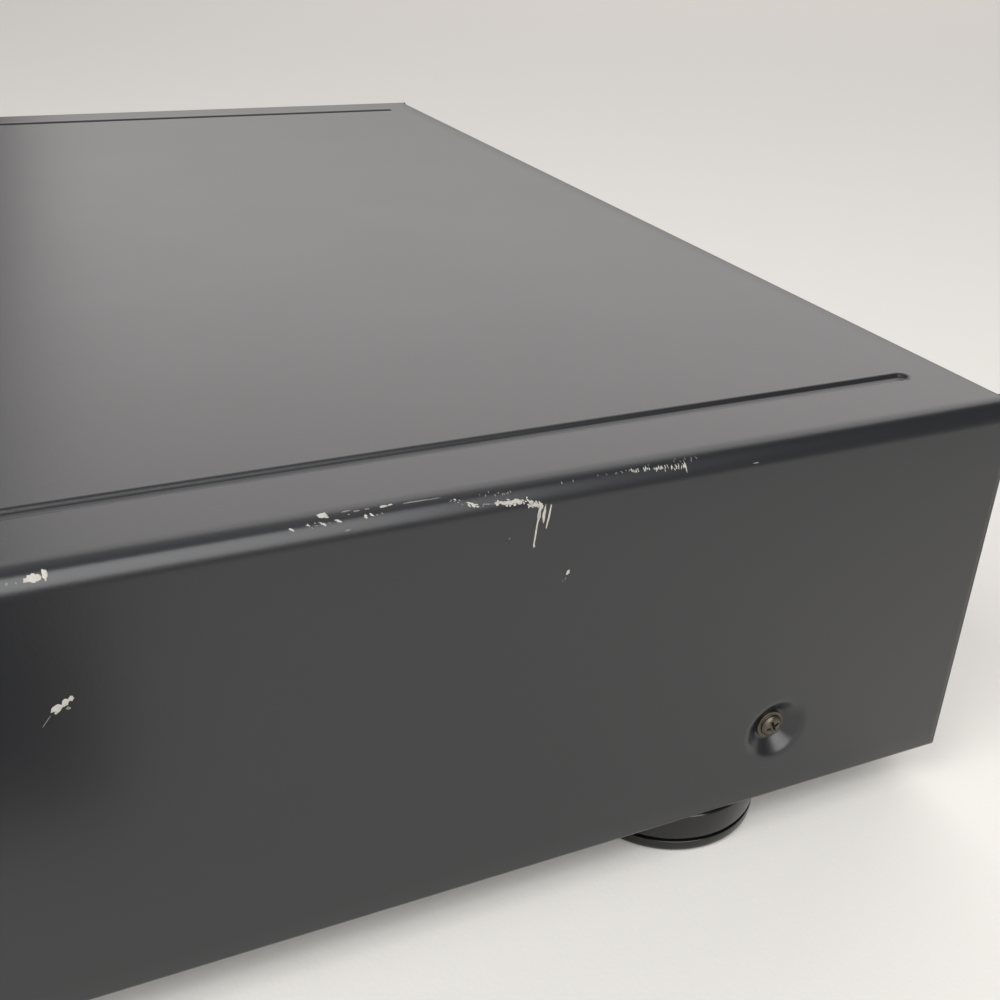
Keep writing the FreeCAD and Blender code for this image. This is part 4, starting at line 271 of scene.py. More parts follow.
class Grain(Enum):
    """How a surface's fine relief was made."""

    PEEL = "sprayed and baked, with a soft orange peel"
    SPARK = "moulded against a spark-eroded tool"
    DRAWN = "rolled or drawn along x"
    SPANGLE = "hot-dip zinc crystals"
    BRIGHT = "polished, plated or moulded against a mirror"


@dataclass(frozen=True)
class Finish:
    """One material: its colour, its gloss and the relief that its making left."""

    name: str
    colour: str
    roughness: float
    grain: Grain
    grain_mm: float
    relief_mm: float
    drift_mm: float = 40.0
    tint: float = 0.12
    stray: float = 0.05
    metallic: float = 0.0
    ior: float = 1.5
    coat: float = 0.0
    alpha: float = 1.0

    def relief(self, recipe: Recipe) -> bpy.types.NodeSocket:
        """The height pattern of this finish's grain, from 0 to 1."""
        scale = 1 / (self.grain_mm * MM)
        if self.grain is Grain.SPANGLE:
            cells = recipe.add("TexVoronoi", {"Vector": recipe.place, "Scale": scale})
            return recipe.add("SeparateColor", {"Color": cells.outputs["Color"]}).outputs[0]
        stretch = (0.03, 1.0, 1.0) if self.grain is Grain.DRAWN else (1.0, 1.0, 1.0)
        along = recipe.add("Mapping", {"Vector": recipe.place, "Scale": stretch})
        detail = 0.0 if self.grain is Grain.PEEL else 3.0
        noise = recipe.add("TexNoise", {"Vector": along.outputs[0], "Scale": scale, "Detail": detail})
        return noise.outputs[0]

    def paint(self, recipe: Recipe, height: bpy.types.NodeSocket,
              drift: bpy.types.NodeSocket) -> bpy.types.NodeSocket:
        """The colour, wandering a little with the drift and the grain.

        Args:
            recipe: the tree being filled.
            height: the grain's height pattern.
            drift: a slow pattern for handling marks and uneven mixing.

        Returns:
            The output that feeds the shader's colour.
        """
        base = np.array(linear(self.colour)[:3])
        dark, light = (base * (1 - self.tint)).tolist(), np.minimum(base * (1 + self.tint), 1).tolist()
        blend = recipe.add("Math", {0: height, 1: 0.4, 2: 0.0}, operation="MULTIPLY_ADD")
        blend = recipe.add("Math", {0: drift, 1: 0.6, 2: blend.outputs[0]}, operation="MULTIPLY_ADD")
        mix = recipe.add("Mix", {0: blend.outputs[0], 6: (*dark, 1), 7: (*light, 1)}, data_type="RGBA")
        return mix.outputs[2]

    def make(self) -> bpy.types.Material:
        """Builds the material the first time, and hands back the same one after that."""
        known = bpy.data.materials.get(self.name)
        if known:
            return known
        recipe = Recipe(self.name)
        height = self.relief(recipe)
        drift = recipe.add("TexNoise", {"Vector": recipe.place, "Scale": 1 / (self.drift_mm * MM),
                                        "Detail": 4.0}).outputs[0]
        gloss = recipe.add("MapRange", {"Value": drift, "From Min": 0.3, "From Max": 0.7,
                                        "To Min": self.roughness - self.stray,
                                        "To Max": self.roughness + self.stray})
        bump = recipe.add("Bump", {"Distance": self.relief_mm * MM, "Height": height})
        recipe.fill(recipe.shader, {
            "Base Color": self.paint(recipe, height, drift), "Metallic": self.metallic,
            "Roughness": gloss.outputs[0], "Normal": bump.outputs[0]})
        if not self.metallic:
            recipe.shader.inputs["IOR"].default_value = self.ior
        recipe.shader.inputs["Coat Weight"].default_value = self.coat
        recipe.shader.inputs["Alpha"].default_value = self.alpha
        return recipe.material


@dataclass(frozen=True)
class Zone:
    """A box in millimetres, and the colour and metal of what fills it."""

    low: Point
    high: Point
    colour: str
    metallic: float = 0.0


@dataclass(frozen=True)
class Zoned(Finish):
    """A piece of several materials in one solid: each zone's colour shows inside its box."""

    zones: tuple[Zone, ...] = ()

    def paint(self, recipe: Recipe, height: bpy.types.NodeSocket,
              drift: bpy.types.NodeSocket) -> bpy.types.NodeSocket:
        """Lays each zone over the base colour: inside a box is the product of six comparisons."""
        shade = super().paint(recipe, height, drift)
        metal: bpy.types.NodeSocket | None = None
        axes = recipe.add("SeparateXYZ", {"Vector": recipe.place})
        for zone in self.zones:
            inside: bpy.types.NodeSocket | None = None
            for axis in range(3):
                middle = (zone.low[axis] + zone.high[axis]) / 2 * MM
                half = (zone.high[axis] - zone.low[axis]) / 2 * MM
                within = recipe.add("Math", {0: axes.outputs[axis], 1: middle, 2: half},
                                    operation="COMPARE").outputs[0]
                if inside is None:
                    inside = within
                else:
                    inside = recipe.add("Math", {0: inside, 1: within}, operation="MULTIPLY").outputs[0]
            mix = recipe.add("Mix", {0: inside, 6: shade, 7: linear(zone.colour)}, data_type="RGBA")
            shade = mix.outputs[2]
            amount = recipe.add("Mix", {0: inside, 2: self.metallic if metal is None else metal,
                                        3: zone.metallic})
            metal = amount.outputs[0]
        if any(zone.metallic != self.metallic for zone in self.zones):
            recipe.fill(recipe.shader, {"Metallic": metal})
        return shade


# Steel sheet, sprayed and baked: nearly black, with a broad soft sheen and a fine orange peel.
COVER_ENAMEL = Finish("baked_black_enamel", "#1a1b1e", 0.31, Grain.PEEL, 0.7, 0.008, tint=0.06, stray=0.006,
                      ior=1.6)
# The same enamel sprayed thin on the rear panel: duller, with a coarser peel.
REAR_ENAMEL = Finish("rear_black_enamel", "#1b1b1c", 0.5, Grain.PEEL, 0.8, 0.012, tint=0.08)
# The grey-white primer and scraped zinc that show where the enamel has chipped off.
PRIMER = Finish("chipped_zinc_primer", "#a9a79f", 0.55, Grain.SPARK, 0.18, 0.05, drift_mm=1.0, tint=0.6)
# Enamel scratched but not through: a mid grey.
RUBBED = Finish("scratched_enamel", "#6f6e6a", 0.5, Grain.SPARK, 0.2, 0.02, drift_mm=1.0, tint=0.4)
# ABS moulded against a spark-eroded tool: the front's even, slightly sparkling satin black.
FRONT_ABS = Finish("spark_grained_abs", "#1c1c1d", 0.46, Grain.SPARK, 0.35, 0.02, tint=0.1)
# ABS keys and knob from a finer, half-polished tool: a shade lighter and glossier than the front.
KEY_ABS = Finish("satin_key_abs", "#232325", 0.36, Grain.SPARK, 0.3, 0.008, tint=0.06)
KNOB_ABS = Finish("satin_knob_abs", "#202022", 0.34, Grain.SPARK, 0.3, 0.008, tint=0.06)
# Polystyrene drawer parts: black, with flow lines that show as a slow change of gloss.
DRAWER_STYRENE = Finish("moulded_black_styrene", "#18181a", 0.4, Grain.SPARK, 0.5, 0.02, drift_mm=70)
# Glass-filled plastic of the inner frames: dull, with the fibres' mottle.
FRAME_STYRENE = Finish("glass_filled_frame_plastic", "#222222", 0.55, Grain.SPARK, 0.9, 0.03, tint=0.2)
# Glossy ABS foot: a mirror-like black with faint moulding marks.
FOOT_ABS = Finish("glossy_foot_abs", "#131314", 0.18, Grain.SPARK, 2.5, 0.01, tint=0.1, stray=0.06)
# Moulded nylon sockets: an even, slightly waxy black.
SOCKET_NYLON = Finish("black_socket_nylon", "#161617", 0.42, Grain.SPARK, 0.4, 0.015)
# Hot-dip zinc on the base: grey crystals of about 6 mm.
GALVANISED = Finish("hot_dip_galvanised_steel", "#a4a7a9", 0.4, Grain.SPANGLE, 6.0, 0.004, tint=0.16,
                    metallic=1.0, stray=0.08)
# Nickel gone warm and dull with age on the casing's screws.
NICKEL = Finish("tarnished_nickel_plate", "#625d54", 0.42, Grain.SPARK, 0.7, 0.05, drift_mm=2, tint=0.5,
                metallic=1.0, stray=0.14)
# Motor cans deep-drawn from bright steel: fine lines all one way, a broad clear gloss.
CAN_STEEL = Finish("drawn_motor_steel", "#b4b5b4", 0.3, Grain.DRAWN, 0.5, 0.004, tint=0.1, metallic=1.0)
# Rods and screw ground and polished: nearly a mirror, streaked lengthwise.
ROD_STEEL = Finish("ground_rod_steel", "#c8c9ca", 0.16, Grain.DRAWN, 0.3, 0.001, tint=0.05, metallic=1.0)
# Flash gold on the phono shells: warm and bright, with faint unevenness of the plating.
GOLD = Finish("thin_gold_plate", "#d9ad5b", 0.2, Grain.BRIGHT, 1.5, 0.003, tint=0.1, metallic=1.0)
# Brass pulleys off the lathe: yellow, a little uneven in gloss.
BRASS = Finish("turned_brass", "#b8934c", 0.28, Grain.BRIGHT, 0.4, 0.004, tint=0.12, metallic=1.0)
# Natural acetal gears: milky, waxy off-white.
ACETAL = Finish("natural_acetal", "#dcd8cb", 0.38, Grain.SPARK, 1.0, 0.008, tint=0.05, ior=1.48)
# Moulded rubber belts and mat: black, powdery and matt.
RUBBER = Finish("square_rubber_belt", "#1a1a1a", 0.75, Grain.SPARK, 0.5, 0.02, tint=0.3, stray=0.1)
# Smoked acrylic window: mirror-glossy, with the tube's pale unlit figures just showing through.
WINDOW = Finish("smoked_acrylic", "#0b0c0e", 0.05, Grain.BRIGHT, 30.0, 0.004, tint=0.05, stray=0.02,
                ior=1.49, coat=1.0, alpha=0.3)
# The display tube's glass over its grey-green inner face: dark and wet-looking.
TUBE_GLASS = Finish("display_tube_glass", "#26302e", 0.08, Grain.BRIGHT, 20.0, 0.003, tint=0.1, stray=0.02,
                    ior=1.52, coat=0.5)
# Phosphor that isn't lit: chalky, pale grey-green.
PHOSPHOR = Finish("unlit_phosphor", "#a9b9b0", 0.7, Grain.SPARK, 0.2, 0.004, tint=0.1)
# Pad-printed ink for signs, and a thinner, greyer one in the drawer: matt, just off white.
INK = Finish("pad_printed_ink", "#b9bab8", 0.5, Grain.SPARK, 0.25, 0.002, tint=0.06)
DISC_INK = Finish("pale_tampo_ink", "#8f9190", 0.5, Grain.SPARK, 0.25, 0.002, tint=0.06)
# Coated glass lens: a blue-violet mirror.
LENS_GLASS = Finish("coated_lens_glass", "#27365a", 0.06, Grain.BRIGHT, 5.0, 0.001, ior=1.52, coat=1.0)
# Felt that gives no light back, for the cards that only reflections see, as painted shade; and white paper
# with a faint tooth for the sweep.
FLAG_FELT = Finish("black_flag_felt", "#0e0e0e", 0.9, Grain.SPARK, 1.0, 0.05, tint=0.2)
PAPER = Finish("white_paper_sweep", "#e2dfda", 0.85, Grain.SPARK, 1.2, 0.05, drift_mm=300, tint=0.03)


@dataclass
class Assembly:
    """What every group of parts shares: it can finish CAD nodes as they stand."""

    def dress(self, finish: Finish, *nodes: str) -> None:
        """Puts a finish in every material slot of each named node."""
        for node in nodes:
            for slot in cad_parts[node].material_slots:
                slot.material = finish.make()
            LOG.info("%s: %s", node, finish.name)


# ------------------------------------------------------------------ casing
@dataclass
class Cover(Assembly):
    """The folded cover: one 1 mm sheet with two long grooves, four screw dimples and a rear lip."""

    side: float = 215.0
    top: float = 116.0
    low: float = 12.0
    front: float = -170.2
    rear: float = 194.5
    sheet: float = 1.0
    bend: float = 5.4
    bend_fade: float = 0.3
    hem_bend: float = 1.3
    hem: float = 3.4
    lip_side: float = 209.0
    lip_bend: float = 1.5
    lip_low: float = 105.0
    groove: tuple[float, float] = (189.0, 194.0)
    groove_run: tuple[float, float] = (-156.6, 180.9)
    groove_depth: float = 1.0
    groove_wall: float = 1.5
    groove_margin: float = 1.5
    groove_end: float = 1.4
    dimple_level: float = 33.8
    dimple_rows: tuple[float, float] = (-95.2, 137.5)
    dimple_square: float = 10.0
    dimple_rim: float = 8.6
    dimple_floor: float = 4.5
    dimple_deep: float = 3.1
    dimple_hole: float = 2.05
    cells: int = 16

    def bent(self) -> tuple[Array, Array, Array, Array]:
        """Follows the main bend, which is tightest half way and fades out at both ends.

        The turn is 90 degrees times t - bend_fade sin(2 pi t) / (2 pi); its cosine and sine add up to the
        place.

        Returns:
            Lengths, places outwards, places downwards and turns, from the bend's start to its end.
        """
        t = np.linspace(0, 1, 201)
        turn = np.pi / 2 * (t - self.bend_fade * np.sin(2 * np.pi * t) / (2 * np.pi))
        out, down = (np.concatenate([[0], np.cumsum((part[1:] + part[:-1]) / 2)])
                     for part in (np.cos(turn), np.sin(turn)))
        size = self.bend / out[-1]
        return t * 200 * size, out * size, down * size, turn

    def fold(self, along: Array) -> tuple[Array, Array]:
        """Follows the sheet's outer face across the cover.

        The length from the middle runs level to the main bend, round it, down the side, round the hem's
        quarter circle and back in under the edge; negative lengths mirror it.

        Args:
            along: lengths from the middle, in millimetres.

        Returns:
            Points (x, z) and outward normals (x, z).
        """
        s, flip = np.abs(along), np.where(along < 0, -1.0, 1.0)
        length, out, fall, turn = self.bent()
        flat = self.side - self.bend
        a = np.interp(s - flat, length, turn)
        down = np.clip(s - self.side_start, 0, self.hem_start - self.side_start)
        past = s - self.hem_start
        b = np.clip(past / self.hem_bend, 0, np.pi / 2)
        back = np.clip(past - self.hem_bend * np.pi / 2, 0, None)
        x = np.minimum(s, flat) + np.interp(s - flat, length, out) - self.hem_bend * (1 - np.cos(b)) - back
        z = self.top - np.interp(s - flat, length, fall) - down - self.hem_bend * np.sin(b)
        nx, nz = np.where(past > 0, np.cos(b), np.sin(a)), np.where(past > 0, -np.sin(b), np.cos(a))
        return np.stack([x * flip, z], -1), np.stack([nx * flip, nz], -1)

    @property
    def side_start(self) -> float:
        """Length from the middle to the end of the main bend."""
        return self.side - self.bend + float(self.bent()[0][-1])

    @property
    def hem_start(self) -> float:
        """Length from the middle to the start of the hem's bend."""
        return self.side_start + self.top - float(self.bent()[2][-1]) - self.low - self.hem_bend

    def on_skin(self, along: Array, y: Array, lift: Array | float = 0.0) -> Array:
        """Points of the outer face at lengths along and places y, lifted along the normal."""
        where, normal = self.fold(along)
        where = where + normal * np.asarray(lift)[..., None]
        return np.stack([where[..., 0], np.broadcast_to(y, along.shape), where[..., 1]], -1)

    def pressed(self, along: Array, y: Array) -> Array:
        """Depth of the grooves: eased over the wall's width, from the distance to the groove's axis."""
        middle, radius = sum(self.groove) / 2, (self.groove[1] - self.groove[0]) / 2
        beyond = y - np.clip(y, self.groove_run[0] + radius, self.groove_run[1] - radius)
        away = np.hypot(np.abs(along) - middle, beyond)
        return self.groove_depth * ease((radius - away) / self.groove_wall)

    def dimple(self, sign: int, row: float) -> Array:
        """One screw dimple: rings from a square of the main grid, over the rim, down a cone to the hole.

        The outer ring lies on the square's edge at the grid's own points; the others are circles at the
        same bearings, at the radii and depths of a softened cone.

        Args:
            sign: 1 for the right side, -1 for the left.
            row: where along y its middle is.

        Returns:
            A grid (ring, bearing, xyz) that wraps round.
        """
        half, n = self.dimple_square, self.cells
        step = np.linspace(-half, half, n + 1)[:-1]
        flat = np.full(n, half)
        edge = np.stack([np.concatenate([step, flat, -step, -flat]),
                         np.concatenate([-flat, step, flat, -step])], -1)
        soft, deep = self.dimple_square - self.dimple_rim - 0.1, self.dimple_deep
        cone = softened([(self.dimple_rim + soft, 0), (self.dimple_rim, 0), (self.dimple_floor, deep),
                         (self.dimple_hole, deep)], [soft, 0.5], 6)
        bearing = edge / np.linalg.norm(edge, axis=1, keepdims=True)
        plane = np.concatenate([edge[None], cone[:, :1, None] * bearing[None]])
        depth = np.concatenate([[0.0], cone[:, 1]])[:, None] + np.zeros(4 * n)
        return np.stack([sign * (self.side - depth), row + plane[..., 0],
                         self.dimple_level + plane[..., 1]], -1)

    def build(self) -> None:
        """Makes the sheet: main grid with square gaps, dimples in them, rear lip and side edges."""
        half = self.dimple_square
        level = self.hem_start - (self.dimple_level - self.low - self.hem_bend)
        inner, outer = self.groove[0] - self.groove_margin, self.groove[1] + self.groove_margin
        flat, hem_end = self.side - self.bend, self.hem_start + self.hem_bend * math.pi / 2
        right = lines((0, inner - 2.5, 12), (inner - 2.5, inner, 1), (inner, outer, 32),
                      (outer, self.lip_side, 3), (self.lip_side, flat, 1), (flat, self.side_start, 22),
                      (self.side_start, level - half, 5), (level - half, level + half, self.cells),
                      (level + half, self.hem_start, 2), (self.hem_start, hem_end, 5),
                      (hem_end, hem_end + self.hem, 2))
        along = np.concatenate([-right[:0:-1], right])
        near, far = self.dimple_rows
        back = self.rear - self.lip_bend
        start, end = self.groove_run[0] - self.groove_end, self.groove_run[1] + self.groove_end
        fine = self.groove_end + 4.0
        rows = lines((self.front, start, 2), (start, start + fine, 22), (start + fine, near - half, 4),
                     (near - half, near + half, self.cells), (near + half, far - half, 14),
                     (far - half, far + half, self.cells), (far + half, end - fine, 3), (end - fine, end, 22),
                     (end, back, 2))
        s, y = np.meshgrid(along, rows, indexing="ij")
        mid_s, mid_y = np.abs(along[1:] + along[:-1]) / 2, (rows[1:] + rows[:-1]) / 2
        gap_y = np.minimum(np.abs(mid_y - near), np.abs(mid_y - far)) < half
        keep = ~((np.abs(mid_s - level) < half)[:, None] & gap_y[None])
        skin = Skin().add(self.on_skin(s, y, -self.pressed(s, y)), keep=keep)
        for sign in (-1, 1):
            for row in self.dimple_rows:
                skin.add(self.dimple(sign, row), around=True)
            edge = sign * right[right >= self.lip_side - MERGE]
            skin.add(self.on_skin(*np.meshgrid(edge, np.array([back, self.rear]), indexing="ij")))
        skin.add(self.lip(along[np.abs(along) <= self.lip_side + MERGE], back))
        skin.piece("cover", "casing", COVER_ENAMEL, "black_paint", ["top_cover"], 35, self.sheet)

    def lip(self, across: Array, back: float) -> Array:
        """The rear lip: from the top round a quarter circle and down; y and z follow the angle a."""
        a = np.linspace(0, np.pi / 2, 7)
        y = np.concatenate([back + self.lip_bend * np.sin(a), [self.rear]])
        z = np.concatenate([self.top - self.lip_bend * (1 - np.cos(a)), [self.lip_low]])
        x, rows = across[:, None] + 0 * y, 0 * across[:, None]
        return np.stack([x, y + rows, z + rows], -1)


Mark = tuple[float, float, float, float, float]
Run = tuple[float, float, float, float, int, float, float, float, float, int]
# A mark is (y, length down from the start line, length, width, lean in degrees).
CHIPS: tuple[Mark, ...] = (
    (-30.2, 3.6, 2.3, 1.5, 12), (-28.2, 3.3, 1.0, 1.9, 0), (-29.4, 3.7, 1.1, 1.2, 0),
    (-31.2, 3.8, 1.2, 0.8, 0), (-29.7, 30.9, 2.5, 1.5, -40), (-28.1, 29.9, 1.7, 1.3, -45),
    (-27.1, 29.3, 1.2, 0.9, -60), (21.8, 1.05, 2.0, 1.4, 0), (18.6, 2.7, 0.8, 0.3, 60),
    (21.4, 2.95, 1.4, 0.4, 35), (24.4, 2.85, 1.6, 0.42, 30), (15.3, 3.0, 1.1, 0.4, 35),
    (33.8, 1.34, 1.7, 0.55, 0), (35.2, 1.23, 1.0, 0.35, 0), (29.8, 2.9, 0.7, 0.8, 0),
    (31.0, 2.75, 1.1, 0.4, 45), (48.2, 2.6, 0.6, 0.35, 30), (65.7, 11.5, 10.0, 0.42, 97),
    (66.1, 8.6, 3.6, 0.7, 96), (67.2, 9.0, 4.2, 0.62, 94), (68.3, 9.7, 5.6, 0.45, 99),
    (65.3, 16.0, 0.7, 0.5, 90), (73.7, 24.1, 1.3, 0.7, 110), (100.9, 4.1, 2.2, 0.3, 85),
)
SCRATCHES: tuple[Mark, ...] = (
    (-34.4, 3.9, 0.6, 0.5, 0), (-32.9, 4.0, 0.5, 0.4, 0), (-27.8, 31.3, 0.8, 0.7, 0),
    (-31.8, 33.2, 2.8, 0.16, -52), (19.9, 2.5, 0.4, 0.3, 0), (26.4, 1.0, 1.8, 0.4, 0),
    (28.4, 1.35, 1.5, 0.35, 0), (30.5, 1.32, 1.0, 0.3, 0), (32.1, 2.96, 0.4, 0.3, 0),
    (33.1, 2.86, 0.5, 0.3, 40), (25.8, 4.9, 1.2, 0.3, 0), (26.7, 1.9, 0.4, 0.25, 0),
    (40.5, 1.5, 6.2, 0.3, 1), (44.2, 1.6, 2.8, 0.2, 0), (54.6, 4.6, 1.6, 0.22, 3),
    (73.2, 25.5, 0.7, 0.2, 100), (72.6, 26.0, 0.5, 0.2, 110), (59.6, 13.2, 0.35, 0.35, 0),
    (71.6, 2.95, 0.7, 0.25, 90), (74.2, 2.95, 0.6, 0.22, 90), (102.6, 2.9, 0.7, 0.2, 80),
    (104.0, 2.5, 0.7, 0.2, 70), (118.7, 5.9, 1.6, 0.3, 0),
)
# A run is (y, depth) at each end, then count, length, width, lean, spread and seed of its small flakes.
CHIP_RUNS: tuple[Run, ...] = (
    (50.5, 3.8, 53.0, 4.8, 14, 0.6, 0.34, 20, 0.22, 3), (56.5, 4.8, 62.6, 5.5, 62, 0.55, 0.34, 15, 0.28, 5),
    (57.5, 4.8, 61.5, 5.2, 16, 0.95, 0.5, 5, 0.12, 6), (62.9, 5.6, 66.6, 6.9, 34, 0.5, 0.36, 40, 0.42, 8),
    (64.8, 6.4, 66.8, 7.2, 12, 0.7, 0.5, 60, 0.35, 9), (88.0, 2.9, 101.0, 3.9, 44, 0.75, 0.2, 84, 0.2, 13),
)
SCRATCH_RUNS: tuple[Run, ...] = (
    (53.3, 4.7, 56.6, 4.6, 7, 0.4, 0.2, 15, 0.18, 10), (15.0, 2.9, 24.0, 2.8, 12, 0.4, 0.22, 30, 0.3, 14),
    (47.0, 2.6, 50.0, 3.6, 6, 0.4, 0.24, 30, 0.25, 15), (80.0, 2.7, 88.5, 2.9, 12, 0.4, 0.2, 70, 0.2, 34),
    (53.0, 2.5, 60.5, 3.0, 12, 0.45, 0.2, 80, 0.3, 55), (92.0, 2.2, 104.0, 2.6, 8, 0.5, 0.18, 75, 0.25, 89),
)


@dataclass
class Wear(Assembly):
    """Chips or scratches in the enamel, as thin ragged flakes that lie on the cover."""

    cover: Cover
    name: str
    finish: Finish
    marks: tuple[Mark, ...]
    runs: tuple[Run, ...]
    start: float = 210.75
    lift: float = 0.05
    sink: float = 0.08

    def flake(self, y: float, down: float, length: float, width: float, lean: float,
              seed: int) -> Array:
        """One chip: a closed lens with a ragged rim.

        The rim's radius is an ellipse times one plus a few waves of seeded phase; rings go from the
        top's middle over the rim to the underside's middle, and the skin's normal lifts them.

        Args:
            y: place along the cover.
            down: length round the bend or down the side.
            length: the chip's length.
            width: the chip's width.
            lean: turn of its length from y towards down, in degrees.
            seed: which rag it gets.

        Returns:
            A grid (ring, bearing, xyz) that wraps round.
        """
        draw = np.random.default_rng(seed)
        angle = np.linspace(0, 2 * np.pi, 22, endpoint=False)
        waves = np.arange(2, 8)[:, None]
        size, phase = draw.uniform(0.03, 0.13, (6, 1)), draw.uniform(0, 6.3, (6, 1))
        rag = 1 + np.sum(size * np.sin(waves * angle + phase), axis=0)
        share = np.array([0.0, 0.6, 0.9, 1.0, 0.9, 0.0])[:, None]
        height = np.array([1.0, 1.0, 0.8, 0.0, -1.0, -1.0])[:, None] + 0 * angle
        u, v = share * rag * np.cos(angle) * length / 2, share * rag * np.sin(angle) * width / 2
        turn = math.radians(lean)
        at_y = y + u * math.cos(turn) - v * math.sin(turn)
        at_s = self.start + down + u * math.sin(turn) + v * math.cos(turn)
        return self.cover.on_skin(at_s, at_y, np.where(height > 0, height * self.lift, height * self.sink))

    def build(self) -> None:
        """Lays the listed marks and the runs of small ones, and joins them into one piece."""
        skin = Skin()
        for number, mark in enumerate(self.marks):
            skin.add(self.flake(*mark, seed=number), around=True)
        for y0, down0, y1, down1, count, length, width, lean, spread, seed in self.runs:
            draw = np.random.default_rng(seed)
            for number, t in enumerate(np.sort(draw.uniform(0, 1, count))):
                off, size = draw.normal(0, spread), draw.uniform(0.6, 1.3)
                skin.add(self.flake(y0 + (y1 - y0) * t, down0 + (down1 - down0) * t + off,
                                    length * size, width * draw.uniform(0.7, 1.2),
                                    lean + draw.normal(0, 14), seed * 100 + number), around=True)
        skin.piece(self.name, "casing", self.finish, "galvanised_steel", sharp=60)


@dataclass
class Feet(Assembly):
    """Four turned feet with a ring groove near the floor and a screw well underneath."""

    radius: float = 25.0
    height: float = 12.0
    well: float = 9.0
    well_top: float = 8.0
    groove: tuple[float, float] = (3.4, 4.4)
    groove_deep: float = 1.2
    across: float = 190.0
    rows: tuple[float, float] = (-130.5, 122.0)

    def build(self) -> None:
        """Turns the foot's outline, from the well out over the floor ring and up the side."""
        r, low, high = self.radius, *self.groove
        outline = softened(
            [(0, self.well_top), (self.well, self.well_top), (self.well, 0), (19.5, 0), (20, 0.5),
             (21, 0.5), (21.5, 0), (r, 0), (r, low), (r - self.groove_deep, low),
             (r - self.groove_deep, high), (r, high), (r, self.height), (0, self.height)],
            [0.4, 0.8, 0.2, 0.2, 0.2, 0.2, 1.5, 0.3, 0.3, 0.3, 0.3, 0.9])
        foot = turned(outline, 120)
        for end, y in zip(("front", "rear"), self.rows):
            for hand, x in (("left", -self.across), ("right", self.across)):
                skin = Skin().add(foot + np.array([x, y, 0]), around=True)
                skin.piece(f"turned_foot_{end}_{hand}", "casing", FOOT_ABS, "foot_plastic",
                           [f"foot_{end}_{hand}"], 40)


@dataclass
class Screws(Assembly):
    """The casing's fourteen washer-head screws: a cross-recessed dome on a flange and a plain shank."""

    cover: Cover
    feet: Feet
    lip_row: tuple[float, float] = (194.5, 110.5)
    panel_row: tuple[float, float] = (193.5, 18.0)
    rear_columns: tuple[float, ...] = (-160.0, 0.0, 160.0)
    long: float = 7.0
    short: float = 5.0
    flange: float = 3.9
    flange_thick: float = 0.7
    dome: float = 3.0
    height: float = 2.0
    shank: float = 2.0
    recess: float = 1.9
    arm: float = 0.5
    deep: float = 1.4

    def screw(self, length: float, spin: float) -> Array:
        """One screw, head up: rings over the dome, down its rim and along the shank.

        The recess is the larger of two bars; each is eased across its width and along its length, and
        it grows shallower outwards.

        Args:
            length: how far the shank goes down.
            spin: turn of the cross, in degrees.

        Returns:
            A grid (ring, bearing, xyz) that wraps round.
        """
        outline = softened([(0, self.height), (self.dome, self.height), (self.dome, self.flange_thick),
                            (self.flange, self.flange_thick), (self.flange, 0), (self.shank, 0),
                            (self.shank, -length), (0, -length)], [1.1, 0.2, 0.2, 0, 0, 0.4], 6)
        inner = np.linspace(outline[0], outline[1], 17)
        grid = turned(np.vstack([inner, outline[2:]]), 56)
        turn = math.radians(spin)
        a = grid[..., 0] * math.cos(turn) + grid[..., 1] * math.sin(turn)
        b = grid[..., 1] * math.cos(turn) - grid[..., 0] * math.sin(turn)
        bars = [ease((self.arm - np.abs(q)) / 0.2) * ease((self.recess - np.abs(p)) / 0.4)
                * (1 - 0.45 * np.abs(p) / self.recess) for p, q in ((a, b), (b, a))]
        crown = 0.25 * (np.hypot(a, b) / self.dome) ** 2
        top = grid[..., 2] > (self.height + self.flange_thick) / 2
        grid[..., 2] -= np.where(top, self.deep * np.maximum(*bars) + crown, 0)
        return grid

    def build(self) -> None:
        """Places the screws: sides in their dimples, rear lip, rear panel, and one in each foot."""
        x, y, z = np.eye(3)
        places: list[tuple[Point, Array, Array, Array, float]] = []
        seat = self.cover.side - self.cover.dimple_deep
        for sign in (-1, 1):
            places += [((sign * seat, row, self.cover.dimple_level), y, sign * z, sign * x, self.long)
                       for row in self.cover.dimple_rows]
            places += [((sign * self.feet.across, row, self.feet.well_top), x, -y, -z, self.short)
                       for row in self.feet.rows]
        for across in self.rear_columns:
            places += [((across, *row), -x, z, y, self.long) for row in (self.lip_row, self.panel_row)]
        skin = Skin()
        for number, (at, across, up, out, length) in enumerate(places):
            skin.add(placed(self.screw(length, 17 + 37 * number), at, across, up, out), around=True)
        skin.piece("casing_screw_set", "casing", NICKEL, "screw_steel", ["casing_screws"], 38)


